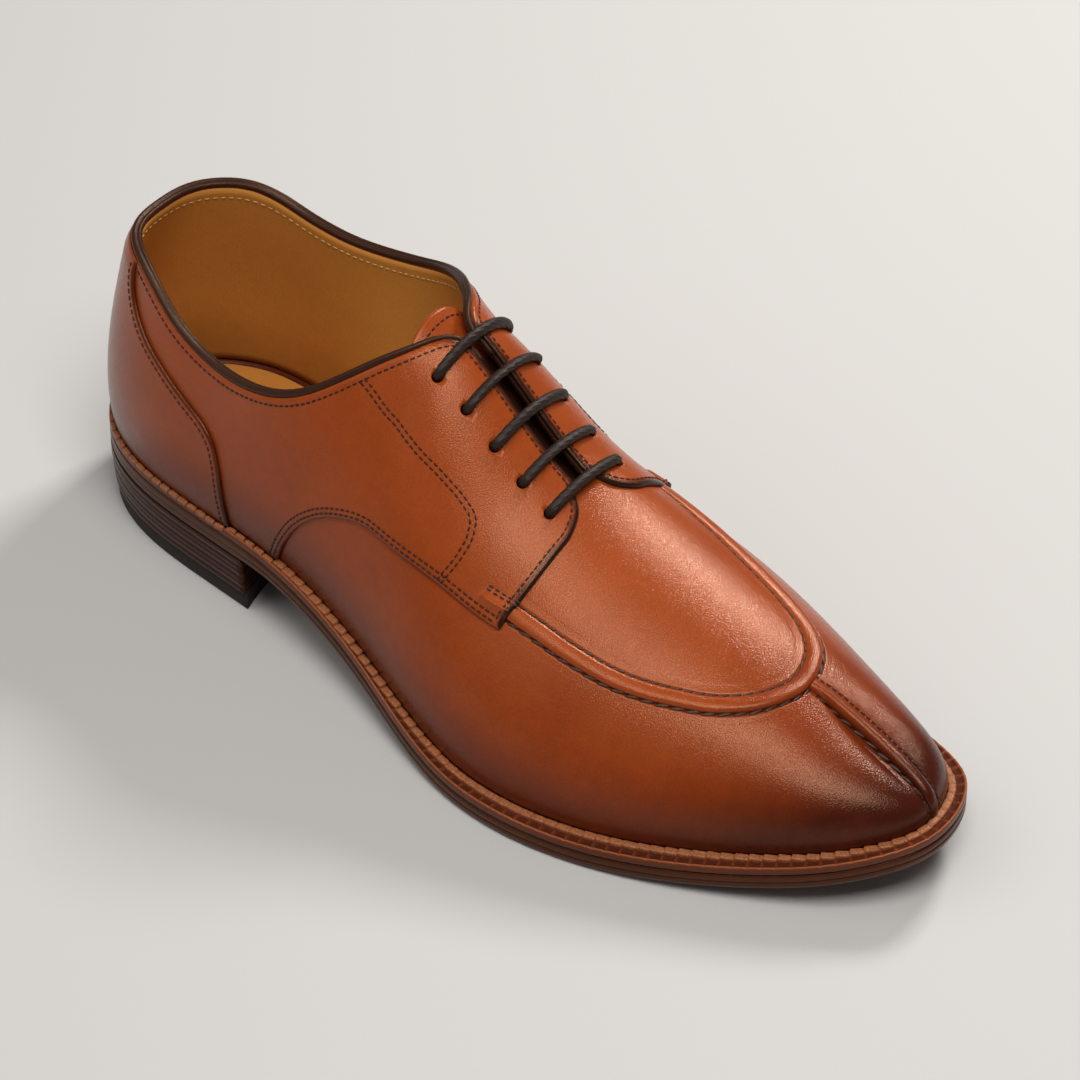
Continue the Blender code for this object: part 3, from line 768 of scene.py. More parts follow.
# Finishes
class NodeSheet:
    """Short way to lay out a node tree. A node given as an input stands for its first output."""

    def __init__(self, tree: NodeTree) -> None:
        """Keep the tree."""
        self.tree = tree

    def feed(self, node: Node, inputs: dict) -> Node:
        """Give inputs of a node their values or links.

        Args:
            node: The node.
            inputs: Values, sockets or nodes for its inputs, by name or number.

        Returns:
            The node.
        """
        for key, value in inputs.items():
            socket = node.inputs[key]
            if isinstance(value, Node):
                value = value.outputs[0]
            if isinstance(value, NodeSocket):
                self.tree.links.new(value, socket)
            elif socket.type == "RGBA":
                socket.default_value = (*value, 1.0)
            else:
                socket.default_value = value
        return node

    def add(self, kind: str, inputs: Optional[dict] = None, **settings: Any) -> Node:
        """Add a node.

        Args:
            kind: Type of the node.
            inputs: Values, sockets or nodes for its inputs, by name or number.
            **settings: Properties of the node.

        Returns:
            The node.
        """
        node = self.tree.nodes.new(kind)
        for name, value in settings.items():
            setattr(node, name, value)
        return self.feed(node, inputs or {})

    def maths(self, operation: str, first: Feed, second: Feed, clamp: bool = False) -> Node:
        """Node with the result of a sum on two values."""
        return self.add("ShaderNodeMath", {0: first, 1: second}, operation=operation, use_clamp=clamp)

    def blend(self, factor: Feed, first: Feed, second: Feed) -> NodeSocket:
        """Socket with a colour between two colours."""
        colour = 2
        return self.add("ShaderNodeMix", {0: factor, 6: first, 7: second}, data_type="RGBA").outputs[colour]

    def ramp(self, value: Feed, low: float, high: float, start: float = 0.0,
             end: float = 1.0) -> Node:
        """Node with a value mapped from one range to another and held at its ends."""
        inputs = {0: value, 1: low, 2: high, 3: start, 4: end}
        return self.add("ShaderNodeMapRange", inputs, clamp=True)

    def noise(self, vector: Feed, scale: Feed, detail: float = 3.0) -> Node:
        """Node with a soft noise value, and with a colour as its second output."""
        return self.add("ShaderNodeTexNoise", {"Vector": vector, "Scale": scale, "Detail": detail})


def new_tree(name: str, kind: str, inputs: dict[str, str], outputs: dict[str, str]) -> tuple:
    """Start a node group.

    Args:
        name: Name of the group.
        kind: Type of its tree.
        inputs: Socket types of its inputs, by name.
        outputs: Socket types of its outputs, by name.

    Returns:
        The group, its sheet and the sockets of its input node.
    """
    group = bpy.data.node_groups.new(name, kind)
    for way, sockets in (("INPUT", inputs), ("OUTPUT", outputs)):
        for label, socket in sockets.items():
            group.interface.new_socket(label, in_out=way, socket_type=f"NodeSocket{socket}")
    sheet = NodeSheet(group)
    return group, sheet, sheet.add("NodeGroupInput").outputs


@dataclass(frozen=True)
class Leather:
    """Finish of one leather."""

    name: str
    light: Colour
    middle: Colour
    dark: Colour
    # colour of stained cut edges, also of the painted shade in the throat's gap
    stain: Colour = (0.016, 0.006, 0.004)
    rough: float = 0.225
    shine: float = 0.40
    gleam: Colour = (1.0, 0.60, 0.40)
    cells: float = 1500.0
    depth: float = 0.000042
    mottle: float = 0.30


@dataclass(frozen=True)
class Plain:
    """Finish of a thread, a cord or a rubber."""

    name: str
    colour: Colour
    other: Colour
    rough: float
    scale: float
    depth: float = 0.00008
    shine: float = 0.25


TAN_CALF = Leather("tan_calf", (0.40, 0.074, 0.013), (0.215, 0.033, 0.006), (0.050, 0.007, 0.003))
LINING = Leather("lining_leather", (0.62, 0.275, 0.055), (0.50, 0.205, 0.038), (0.25, 0.095, 0.018),
                 rough=0.55, shine=0.25, cells=1100.0)
DARK_CALF = Leather("dark_calf", (0.044, 0.017, 0.009), (0.026, 0.010, 0.006), (0.012, 0.005, 0.004),
                    rough=0.36, shine=0.3)
SOLE_EDGE = Leather("sole_leather", (0.140, 0.042, 0.016), (0.066, 0.018, 0.007), (0.020, 0.006, 0.004),
                    rough=0.34, shine=0.28, cells=900.0)
WELT = Leather("welt_leather", (0.34, 0.105, 0.036), (0.15, 0.032, 0.012), (0.050, 0.009, 0.004), rough=0.36)
HEEL_STACK = Leather("heel_leather", (0.056, 0.015, 0.007), (0.028, 0.007, 0.004), (0.009, 0.003, 0.002),
                     rough=0.30, shine=0.25, cells=700.0)
RUBBER = Plain("top_piece_rubber", (0.030, 0.023, 0.020), (0.020, 0.015, 0.013), 0.68, 900.0)
SEAM_THREAD = Plain("seam_thread", (0.050, 0.015, 0.008), (0.024, 0.008, 0.005), 0.6, 2600.0)
APRON_THREAD = Plain("apron_thread", (0.085, 0.030, 0.017), (0.026, 0.009, 0.006), 0.42, 2200.0)
WELT_THREAD = Plain("welt_thread", (0.40, 0.145, 0.058), (0.24, 0.074, 0.027), 0.45, 1800.0)
LINING_THREAD = Plain("lining_thread", (0.52, 0.36, 0.16), (0.42, 0.27, 0.10), 0.7, 2600.0)
LACE_CORD = Plain("lace_cord", (0.030, 0.016, 0.011), (0.012, 0.006, 0.004), 0.44, 2400.0, depth=0.00014)


class Finishes:
    """Materials of the shoe, made once each, with the effects that they share as node groups."""

    wander: float = 0.0004
    crease_width: float = 0.22
    crease_height: float = 0.55
    crease_shade: float = 0.16
    wave_scale: float = 0.3
    wave_height: float = 0.9
    wide_scale: float = 34.0
    fine_scale: float = 260.0
    fine_share: float = 0.5
    rub_scale: float = 120.0
    rub_span: tuple = (0.3, 0.7)
    rub_change: tuple = (-0.015, 0.02)
    fibre_span: tuple = (0.35, 0.65)

    def __init__(self) -> None:
        """Make the shared groups."""
        self.grain = self.grain_group()
        self.burnish = self.burnish_and_shade_group()
        self.made: dict[str, Material] = {}

    def grain_group(self) -> NodeTree:
        """Fine grain of a leather: small cells between creases, over soft waves.

        Returns:
            The node group.
        """
        inputs = {"Vector": "Vector", "Cells": "Float"}
        outputs = {"Height": "Float", "Crease": "Float"}
        group, sheet, start = new_tree("leather_grain", "ShaderNodeTree", inputs, outputs)
        vector = start["Vector"]
        cells = start["Cells"]
        wander = sheet.noise(vector, cells, 2.0).outputs["Color"]
        small = sheet.add("ShaderNodeVectorMath", {0: wander, 1: (self.wander,) * 3}, operation="MULTIPLY")
        place = sheet.add("ShaderNodeVectorMath", {0: vector, 1: small}, operation="ADD")
        edge = sheet.add("ShaderNodeTexVoronoi", {"Vector": place, "Scale": cells},
                         feature="DISTANCE_TO_EDGE")
        crease = sheet.ramp(edge.outputs["Distance"], 0.0, self.crease_width)
        wave = sheet.noise(vector, sheet.maths("MULTIPLY", cells, self.wave_scale), 4.0)
        cell_height = sheet.maths("MULTIPLY", crease, self.crease_height)
        height = sheet.maths("ADD", cell_height, sheet.maths("MULTIPLY", wave, self.wave_height))
        sheet.add("NodeGroupOutput", {"Height": height, "Crease": crease})
        return group

    def burnish_and_shade_group(self) -> NodeTree:
        """Hand-rubbed colour, deepened in places as painted shade: three tones by an amount that wavers over
        the surface.

        Returns:
            The node group.
        """
        inputs = {"Vector": "Vector", "Amount": "Float", "Mottle": "Float", "Light": "Color",
                  "Middle": "Color", "Dark": "Color"}
        group, sheet, start = new_tree("burnish", "ShaderNodeTree", inputs, {"Color": "Color"})
        wide = sheet.maths("SUBTRACT", sheet.noise(start["Vector"], self.wide_scale), 0.5)
        fine = sheet.maths("SUBTRACT", sheet.noise(start["Vector"], self.fine_scale, 4.0), 0.5)
        waver = sheet.maths("ADD", wide, sheet.maths("MULTIPLY", fine, self.fine_share))
        waver = sheet.maths("MULTIPLY", waver, start["Mottle"])
        tone = sheet.maths("ADD", start["Amount"], waver, clamp=True)
        first = sheet.blend(sheet.ramp(tone, 0.0, 0.5), start["Light"], start["Middle"])
        colour = sheet.blend(sheet.ramp(tone, 0.5, 1.0), first, start["Dark"])
        sheet.add("NodeGroupOutput", {"Color": colour})
        return group

    def of(self, finish: Leather | Plain) -> Material:
        """Material of a finish, made at its first use.

        Args:
            finish: The finish.

        Returns:
            Its material.
        """
        if finish.name not in self.made:
            material = bpy.data.materials.new(finish.name)
            material.use_nodes = True
            sheet = NodeSheet(material.node_tree)
            lay_out = self.leather if isinstance(finish, Leather) else self.plain
            lay_out(finish, sheet, material.node_tree.nodes["Principled BSDF"])
            self.made[finish.name] = material
        return self.made[finish.name]

    def leather(self, finish: Leather, sheet: NodeSheet, shader: Node) -> None:
        """Lay out a leather, which reads how far each point is burnished or darkened as painted shade, and
        how far it is stained as a cut edge or blacked as painted shade.

        Args:
            finish: The leather's finish.
            sheet: Sheet of its material.
            shader: Its shader.
        """
        place = sheet.add("ShaderNodeTexCoord").outputs["Object"]
        amount = sheet.add("ShaderNodeAttribute", attribute_name="burnish").outputs["Fac"]
        edge = sheet.add("ShaderNodeAttribute", attribute_name="edge").outputs["Fac"]
        grain = sheet.add("ShaderNodeGroup", {"Vector": place, "Cells": finish.cells}, node_tree=self.grain)
        inputs = {"Vector": place, "Amount": amount, "Mottle": finish.mottle, "Light": finish.light,
                  "Middle": finish.middle, "Dark": finish.dark}
        tone = sheet.add("ShaderNodeGroup", inputs, node_tree=self.burnish)
        crease = sheet.ramp(grain.outputs["Crease"], 0.0, 1.0, self.crease_shade, 0.0)
        creased = sheet.blend(crease, tone, finish.dark)
        rough = [finish.rough + change for change in self.rub_change]
        rubbed = sheet.ramp(sheet.noise(place, self.rub_scale), *self.rub_span, *rough)
        bump = sheet.add("ShaderNodeBump", {"Height": grain.outputs["Height"], "Distance": finish.depth})
        # towards the stain colour by the edge value: stained cut edges and painted shade
        colour = sheet.blend(edge, creased, finish.stain)
        sheet.feed(shader, {"Base Color": colour, "Roughness": rubbed, "Specular IOR Level": finish.shine,
                            "Specular Tint": finish.gleam, "Normal": bump})

    def plain(self, finish: Plain, sheet: NodeSheet, shader: Node) -> None:
        """Lay out a thread, a cord or a rubber.

        Args:
            finish: Its finish.
            sheet: Sheet of its material.
            shader: Its shader.
        """
        fibre = sheet.noise(sheet.add("ShaderNodeTexCoord").outputs["Object"], finish.scale)
        colour = sheet.blend(sheet.ramp(fibre, *self.fibre_span), finish.colour, finish.other)
        bump = sheet.add("ShaderNodeBump", {"Height": fibre, "Distance": finish.depth})
        sheet.feed(shader, {"Base Color": colour, "Roughness": finish.rough,
                            "Specular IOR Level": finish.shine, "Normal": bump})


# Stitching
@dataclass(frozen=True)
class Stitch:
    """One kind of stitch. Where it is spaced, the points of its rows are the stitches' own places."""

    name: str
    thread: Plain
    pitch: float
    length: float
    width: float
    height: float
    slant: float = 0.0
    slot: str = "tan_calf"
    detail: int = 1
    square: float = 0.2
    spaced: bool = False


SEAM_STITCH = Stitch("seam_stitches", SEAM_THREAD, 2.05, 1.75, 0.68, 0.5)
APRON_STITCH = Stitch("apron_stitches", APRON_THREAD, 3.3, 3.7, 0.9, 0.75, slant=11.0, detail=2)
EDGE_STITCH = Stitch("edge_stitches", APRON_THREAD, 4.4, 4.9, 1.3, 1.1, slant=13.0, detail=2)
WELT_STITCH = Stitch("welt_stitches", WELT_THREAD, 4.0, 4.35, 2.3, 1.6, slot="welt_leather", detail=2,
                     square=0.45, spaced=True)
HEEL_STITCH = Stitch("heel_stitches", WELT_THREAD, 4.0, 3.65, 1.4, 1.4, slot="welt_leather", detail=2,
                     square=0.45, spaced=True)
LINING_STITCH = Stitch("lining_stitches", LINING_THREAD, 2.4, 1.9, 0.65, 0.5, slot="lining_leather")


class StitchWork:
    """Rows of stitches, gathered by kind and set along their lines by geometry nodes."""

    seed: int = 7
    least: Colour = (0.92, 0.92, 0.9)
    most: Colour = (1.06, 1.06, 1.08)

    def __init__(self, finishes: Finishes) -> None:
        """Start with no rows."""
        self.finishes = finishes
        self.rows: dict[Stitch, list[tuple[Array, Array]]] = {}

    def add(self, stitch: Stitch, points: Array, ups: Array) -> None:
        """Add a row: the points of its line and the direction up at each."""
        self.rows.setdefault(stitch, []).append((points, ups))

    def node_tree(self) -> NodeTree:
        """Geometry nodes that set a stitch at even steps along each line.

        Returns:
            The tree.
        """
        inputs = {"Geometry": "Geometry", "Pitch": "Float", "Slant": "Float", "Square": "Float",
                  "Detail": "Int", "Spaced": "Bool", "Size": "Vector", "Material": "Material"}
        tree, sheet, start = new_tree("stitch_row", "GeometryNodeTree", inputs, {"Geometry": "Geometry"})
        curve = sheet.add("GeometryNodeMeshToCurve", {"Mesh": start["Geometry"]})
        even = sheet.add("GeometryNodeResampleCurve", {"Curve": curve, "Length": start["Pitch"]},
                         mode="LENGTH")
        line = sheet.add("GeometryNodeSwitch", {"Switch": start["Spaced"], "False": even, "True": curve},
                         input_type="GEOMETRY")
        block = sheet.add("GeometryNodeMeshCube", {"Size": (1.0, 1.0, 1.0)})
        ball = sheet.add("GeometryNodeSubdivisionSurface",
                         {"Mesh": block, "Level": start["Detail"], "Edge Crease": start["Square"]})
        turn = sheet.add("ShaderNodeCombineXYZ", {"Z": start["Slant"]})
        sized = sheet.add("GeometryNodeTransform", {"Geometry": ball, "Scale": start["Size"]})
        shaped = sheet.add("GeometryNodeTransform", {"Geometry": sized, "Rotation": turn})
        up = sheet.add("GeometryNodeInputNamedAttribute", {"Name": "up"}, data_type="FLOAT_VECTOR")
        along = sheet.add("GeometryNodeInputTangent")
        axes = sheet.add("FunctionNodeAxesToRotation", {0: up, 1: along}, primary_axis="Z",
                         secondary_axis="X")
        vary = sheet.add("FunctionNodeRandomValue", {0: self.least, 1: self.most, 8: self.seed},
                         data_type="FLOAT_VECTOR")
        spread = sheet.add("GeometryNodeInstanceOnPoints",
                           {"Points": line, "Instance": shaped, "Rotation": axes, "Scale": vary})
        real = sheet.add("GeometryNodeRealizeInstances", {"Geometry": spread})
        smooth = sheet.add("GeometryNodeSetShadeSmooth", {"Geometry": real})
        dressed = sheet.add("GeometryNodeSetMaterial", {"Geometry": smooth, "Material": start["Material"]})
        sheet.add("NodeGroupOutput", {"Geometry": dressed})
        return tree

    def sew(self) -> None:
        """Make one piece of each kind of stitch."""
        tree = self.node_tree()
        keys = {item.name: item.identifier for item in tree.interface.items_tree if item.in_out == "INPUT"}
        for stitch, rows in self.rows.items():
            lines = bpy.data.meshes.new(stitch.name)
            points, ups = (np.concatenate(part) for part in zip(*rows))
            starts = np.cumsum([0] + [len(line) for line, _ in rows])
            edges = [(i, i + 1) for a, b in zip(starts[:-1], starts[1:]) for i in range(a, b - 1)]
            lines.from_pydata(LAST.world(points).tolist(), edges, [])
            layer = lines.attributes.new("up", "FLOAT_VECTOR", "POINT")
            layer.data.foreach_set("vector", ups.astype(np.float32).ravel())
            piece = add_object(stitch.name, lines)
            modifier = piece.modifiers.new("stitches", "NODES")
            modifier.node_group = tree
            size = tuple(v * MM for v in (stitch.length, stitch.width, stitch.height))
            values = {"Pitch": stitch.pitch * MM, "Slant": math.radians(stitch.slant),
                      "Square": stitch.square, "Detail": stitch.detail, "Spaced": stitch.spaced,
                      "Size": size, "Material": self.finishes.of(stitch.thread)}
            for label, value in values.items():
                modifier[keys[label]] = value
            settle(bake_modifiers(piece), stitch.slot)


# Burnishing and painted shade of the upper
@dataclass(frozen=True)
class BurnishAndShade:
    """How far the calf is darkened: burnished at the toe and the heel, burnished and painted with shade near
    the welt, lighter higher up; and the stretches over which that fades.
    """

    base: float = 0.30
    toe: float = 0.42
    toe_span: tuple = (228, 298)
    # darker near the welt: partly burnish, partly painted shade low on the upper
    low: float = 0.52
    low_span: tuple = (0, 28)
    heel: float = 0.20
    heel_span: tuple = (0, 45)
    # lighter higher up the upper
    top: float = -0.12
    top_span: tuple = (26, 62)

    def at(self, points: Array) -> Array:
        """How far the leather is darkened at points of the upper.

        Args:
            points: Points in the last's frame.

        Returns:
            Amounts from 0 to 1.
        """
        x = points[:, 0]
        over_welt = points[:, 2] - LAST.sole_z(x) - LAST.edge
        toe = smoothstep(*self.toe_span, x) * self.toe
        # painted shade low on the upper, on top of the burnish near the welt
        low = (1 - smoothstep(*self.low_span, over_welt)) * self.low
        heel = (1 - smoothstep(*self.heel_span, x)) * self.heel
        top = smoothstep(*self.top_span, over_welt) * self.top
        return np.clip(self.base + toe + low + heel + top, 0, 1)


BURNISH_AND_SHADE = BurnishAndShade()


# Sub-assemblies
@dataclass
class Bench:
    """What every sub-assembly is made with."""

    finishes: Finishes
    work: StitchWork
    view: TopView


@dataclass
class ApronSeam:
    """Raised seam round the apron and the ridge that splits the toe."""

    bench: Bench
    lip_steps: int = 420
    ridge_steps: int = 110
    ridge_foot: float = 0.012
    foot_skip: int = 3
    foot_fade: float = 9.0
    foot_lift: float = 0.4
    foot_reach: float = 0.06
    foot_high: float = 0.3
    foot_columns: int = 121
    foot_rows: int = 140
    seat_depth: float = 0.8
    seat_inner: float = 3.3
    seat_outer: float = 5.0
    across_steps: int = 47
    under_skip: int = 3
    under: float = 0.9
    sharp: float = 65.0
    # darker down in the seams' grooves
    groove_dark: float = 0.3
    groove_span: tuple = (-0.45, -0.02)
    groove_darken: float = 0.8
    groove_darken_span: tuple = (-0.55, -0.25)
    lip_shape: tuple = (
        # across, lift; from the outside of the apron inwards
        (-5.6, 0.02), (-5.0, 0.02), (-4.3, 0.02), (-3.6, 0.0), (-3.15, -0.25), (-2.85, -0.6), (-2.6, -0.45),
        (-2.45, 0.4), (-2.15, 0.98), (-1.5, 1.3), (-0.5, 1.32), (0.5, 1.12), (1.4, 0.82), (2.0, 0.5),
        (2.4, 0.06), (2.65, -0.2), (2.9, -0.04), (3.3, 0.07), (4.1, 0.04), (4.9, 0.02), (5.6, 0.02))
    ridge_shape: tuple = (
        # across, lift; from the lateral side to the medial
        (-5.6, 0.02), (-5.0, 0.02), (-4.2, 0.02), (-3.4, 0.0), (-2.95, -0.3), (-2.65, -0.65), (-2.4, -0.5),
        (-2.25, 0.5), (-1.85, 1.25), (-1.1, 1.65), (-0.2, 1.7), (0.7, 1.4), (1.4, 0.9), (2.0, 0.3),
        (2.35, 0.0), (2.6, -0.1), (2.9, 0.0), (3.6, 0.03), (4.8, 0.02), (5.6, 0.02))
    # stitch, across, lift
    lip_rows: tuple = ((APRON_STITCH, 2.65, -0.1), (EDGE_STITCH, -2.85, -0.3))
    ridge_rows: tuple = ((EDGE_STITCH, -2.6, -0.4), (SEAM_STITCH, 2.6, 0.05))

    def __post_init__(self) -> None:
        """Lay out the two lines on the upper."""
        lateral = [(x, y) for x, y, _ in APRON]
        medial = [(x, y) for x, _, y in APRON[::-1]]
        self.lip = self.frames(path_spline(lateral + [APRON_NOSE] + medial, self.lip_steps))
        self.ridge = self.down_to_welt(self.frames(path_spline(TOE_RIDGE, self.ridge_steps)))
        self.tree = search_tree(np.concatenate([self.lip[0], self.ridge[0]]))

    def frames(self, line: Array) -> Frames:
        """Frames of a line on the upper.

        Args:
            line: Points of the line seen from above.

        Returns:
            Point, normal and direction across at each.
        """
        spots = [self.bench.view.at(x, y) for x, y in line]
        points = np.array([p for p, _ in spots])
        normals = np.array([n for _, n in spots])
        return points, normals, unit(np.cross(normals, np.gradient(points, axis=0)))

    def down_to_welt(self, frames: Frames) -> Frames:
        """Frames of the toe's ridge, carried on down the upper to the welt.

        Args:
            frames: Frames of the ridge as far as it shows from above.

        Returns:
            All its frames.
        """
        points, normals, _ = frames
        s = 1 + np.linspace(-self.foot_reach, self.foot_reach, self.foot_columns)[:, None]
        h = np.linspace(self.ridge_foot, self.foot_high, self.foot_rows)[None, :]
        away = np.linalg.norm(LAST.surface(s, h) - points[-1], axis=-1)
        i, j = np.unravel_index(int(np.argmin(away)), away.shape)
        down = h[0, :j][::-self.foot_skip]
        place = np.full(len(down), s[i, 0])
        points = np.concatenate([points, LAST.surface(place, down)])
        normals = np.concatenate([normals, LAST.normal(place, down)])
        return points, normals, unit(np.cross(normals, np.gradient(points, axis=0)))

    def seat(self, points: Array) -> Array:
        """How deep the upper is let in under the seams.

        Args:
            points: Points of the upper's face.

        Returns:
            A depth for each.
        """
        deep = np.zeros(len(points))
        for i in np.nonzero(points[:, 0] > APRON[0][0] - self.seat_outer)[0]:
            away = self.tree.find(Vector(points[i]))[2]
            deep[i] = self.seat_depth * (1 - float(smoothstep(self.seat_inner, self.seat_outer, away)))
        return deep

    def strip(self, name: str, frames: Frames, shape: tuple, foot: float = 1.0) -> None:
        """Make a moulded strip that follows a line on the upper.

        Args:
            name: Name of the piece and of its node.
            frames: Points, normals and directions across.
            shape: Its section, as places across and lifts.
            foot: Share of the lift that is left at its last end.
        """
        section = path_spline(shape, self.across_steps)
        left = np.linalg.norm(frames[0] - frames[0][-1], axis=1)
        fulls = foot + (1 - foot) * smoothstep(0.0, self.foot_fade, left)
        sections = []
        for point, normal, across, full in zip(*frames, fulls):
            spots = [self.bench.view.drop(point + across * a, normal) for a, _ in section]
            top = [spot + normal * lift * full for spot, (_, lift) in zip(spots, section)]
            bottom = [spot - normal * self.under for spot in spots[::-self.under_skip]]
            sections.append(np.array(top + bottom))
        piece = loft(name, sections, self.bench.finishes.of(TAN_CALF), ladder=False)
        piece.data.set_sharp_from_angle(angle=math.radians(self.sharp))
        under = np.full(len(sections[0]) - len(section), -self.under)
        lifts = np.tile(np.concatenate([section[:, 1], under]), len(sections))
        groove = 1 - smoothstep(*self.groove_span, lifts)
        burnish = np.clip(BURNISH_AND_SHADE.at(np.concatenate(sections)) + self.groove_dark * groove, 0, 1)
        write_tones(piece, burnish, self.groove_darken * (1 - smoothstep(*self.groove_darken_span, lifts)))
        settle(piece, "tan_calf", name)

    def row_at(self, frames: Frames, across: float, lift: float) -> tuple[Array, Array]:
        """Line of stitches beside a seam.

        Args:
            frames: Frames of the seam.
            across: Distance from its middle line.
            lift: Height over the upper.

        Returns:
            Its points and the directions up.
        """
        points, normals, sides = frames
        drop = self.bench.view.drop
        spots = [drop(p + a * across, n) + n * lift for p, n, a in zip(points, normals, sides)]
        return np.array(spots), normals

    def build(self) -> None:
        """Make the lip, the ridge and their stitches."""
        self.strip("apron_lip", self.lip, self.lip_shape)
        self.strip("toe_ridge", self.ridge, self.ridge_shape, self.foot_lift)
        for frames, rows in ((self.lip, self.lip_rows), (self.ridge, self.ridge_rows)):
            for stitch, across, lift in rows:
                self.bench.work.add(stitch, *self.row_at(frames, across, lift))


@dataclass
class Upper:
    """Hollow upper: outer face, lining and the edges that join them."""

    bench: Bench
    seam: ApronSeam
    around: int = 440
    rows: int = 88
    inner_rows: int = 26
    throat_half: tuple = (2.4, 4.2)
    throat_from: tuple = (120.0, 130.0)
    throat_to: tuple = (172.0, 175.0)
    # painted shade: how dark the slit between the facings and its end are made
    throat_shade: float = 0.95

    def skin(self, s: Array, top: Array, rows: int, offset: float, seated: bool) -> Array:
        """Points of one face, up each column in turn.

        Args:
            s: Stations of the columns.
            top: Height of each column's top.
            rows: Points in a column.
            offset: Distance from the outer face.
            seated: Whether the face is let in under the seams.

        Returns:
            The points.
        """
        h = np.linspace(0, 1, rows)[None, :] * top[:, None]
        s = np.broadcast_to(s[:, None], h.shape).ravel()
        h = h.ravel()
        points = LAST.lifted(s, h, offset)
        if seated:
            points = points - LAST.normal(s, h) * self.seam.seat(points)[:, None]
        return points

    def numbers(self, top: Array, rows: int, base: int) -> Array:
        """Point numbers of a face; where the vamp closes, both sides share the crest's points.

        Args:
            top: Height of each column's top.
            rows: Points in a column.
            base: Number of its first point.

        Returns:
            The numbers, column by column.
        """
        count = len(top)
        index = base + np.arange(count * rows).reshape(count, rows)
        for j in np.nonzero(top == 1.0)[0]:
            twin = (count - j) % count
            index[j, -1] = index[min(j, twin), -1]
        return index

    def build(self) -> Object:
        """Make the upper.

        Returns:
            The piece, still without its eyelets.
        """
        s = np.arange(self.around) * 2.0 / self.around
        top = LAST.top_height(s)
        outer = self.skin(s, top, self.rows, 0.0, True)
        inner = self.skin(s, top, self.inner_rows, -LAST.wall, False)
        out = self.numbers(top, self.rows, 0)
        lined = self.numbers(top, self.inner_rows, len(outer))
        faces = []
        slots = []
        for j in range(self.around):
            after = (j + 1) % self.around
            for k in range(self.rows - 1):
                faces.append((out[j, k], out[after, k], out[after, k + 1], out[j, k + 1]))
            for k in range(self.inner_rows - 1):
                faces.append((lined[j, k], lined[j, k + 1], lined[after, k + 1], lined[after, k]))
            slots += [0] * (self.rows - 1) + [1] * (self.inner_rows - 1)
            faces.append((out[j, 0], lined[j, 0], lined[after, 0], out[after, 0]))
            slots.append(1)
            if top[j] < 1.0 or top[after] < 1.0:
                faces.append((out[j, -1], out[after, -1], lined[after, -1], lined[j, -1]))
                slots.append(0)
        points = np.concatenate([outer, inner])
        used = np.unique(np.concatenate([out.ravel(), lined.ravel()]))
        renumber = np.full(len(points), -1)
        renumber[used] = np.arange(len(used))
        faces = [tuple(dict.fromkeys(int(renumber[i]) for i in face)) for face in faces]
        points = points[used]
        materials = [self.bench.finishes.of(leather) for leather in (TAN_CALF, LINING)]
        piece = make_piece("upper", points, faces, materials, slots)
        # Painted shade: the slit between the facings and its end are blacked where only shade falls.
        throat_shade_across = 1 - smoothstep(*self.throat_half, np.abs(points[:, 1] - LAST.centre_y))
        along = points[:, 0]
        deep = smoothstep(*self.throat_from, along) * (1 - smoothstep(*self.throat_to, along))
        return write_tones(piece, BURNISH_AND_SHADE.at(points), self.throat_shade * throat_shade_across * deep)


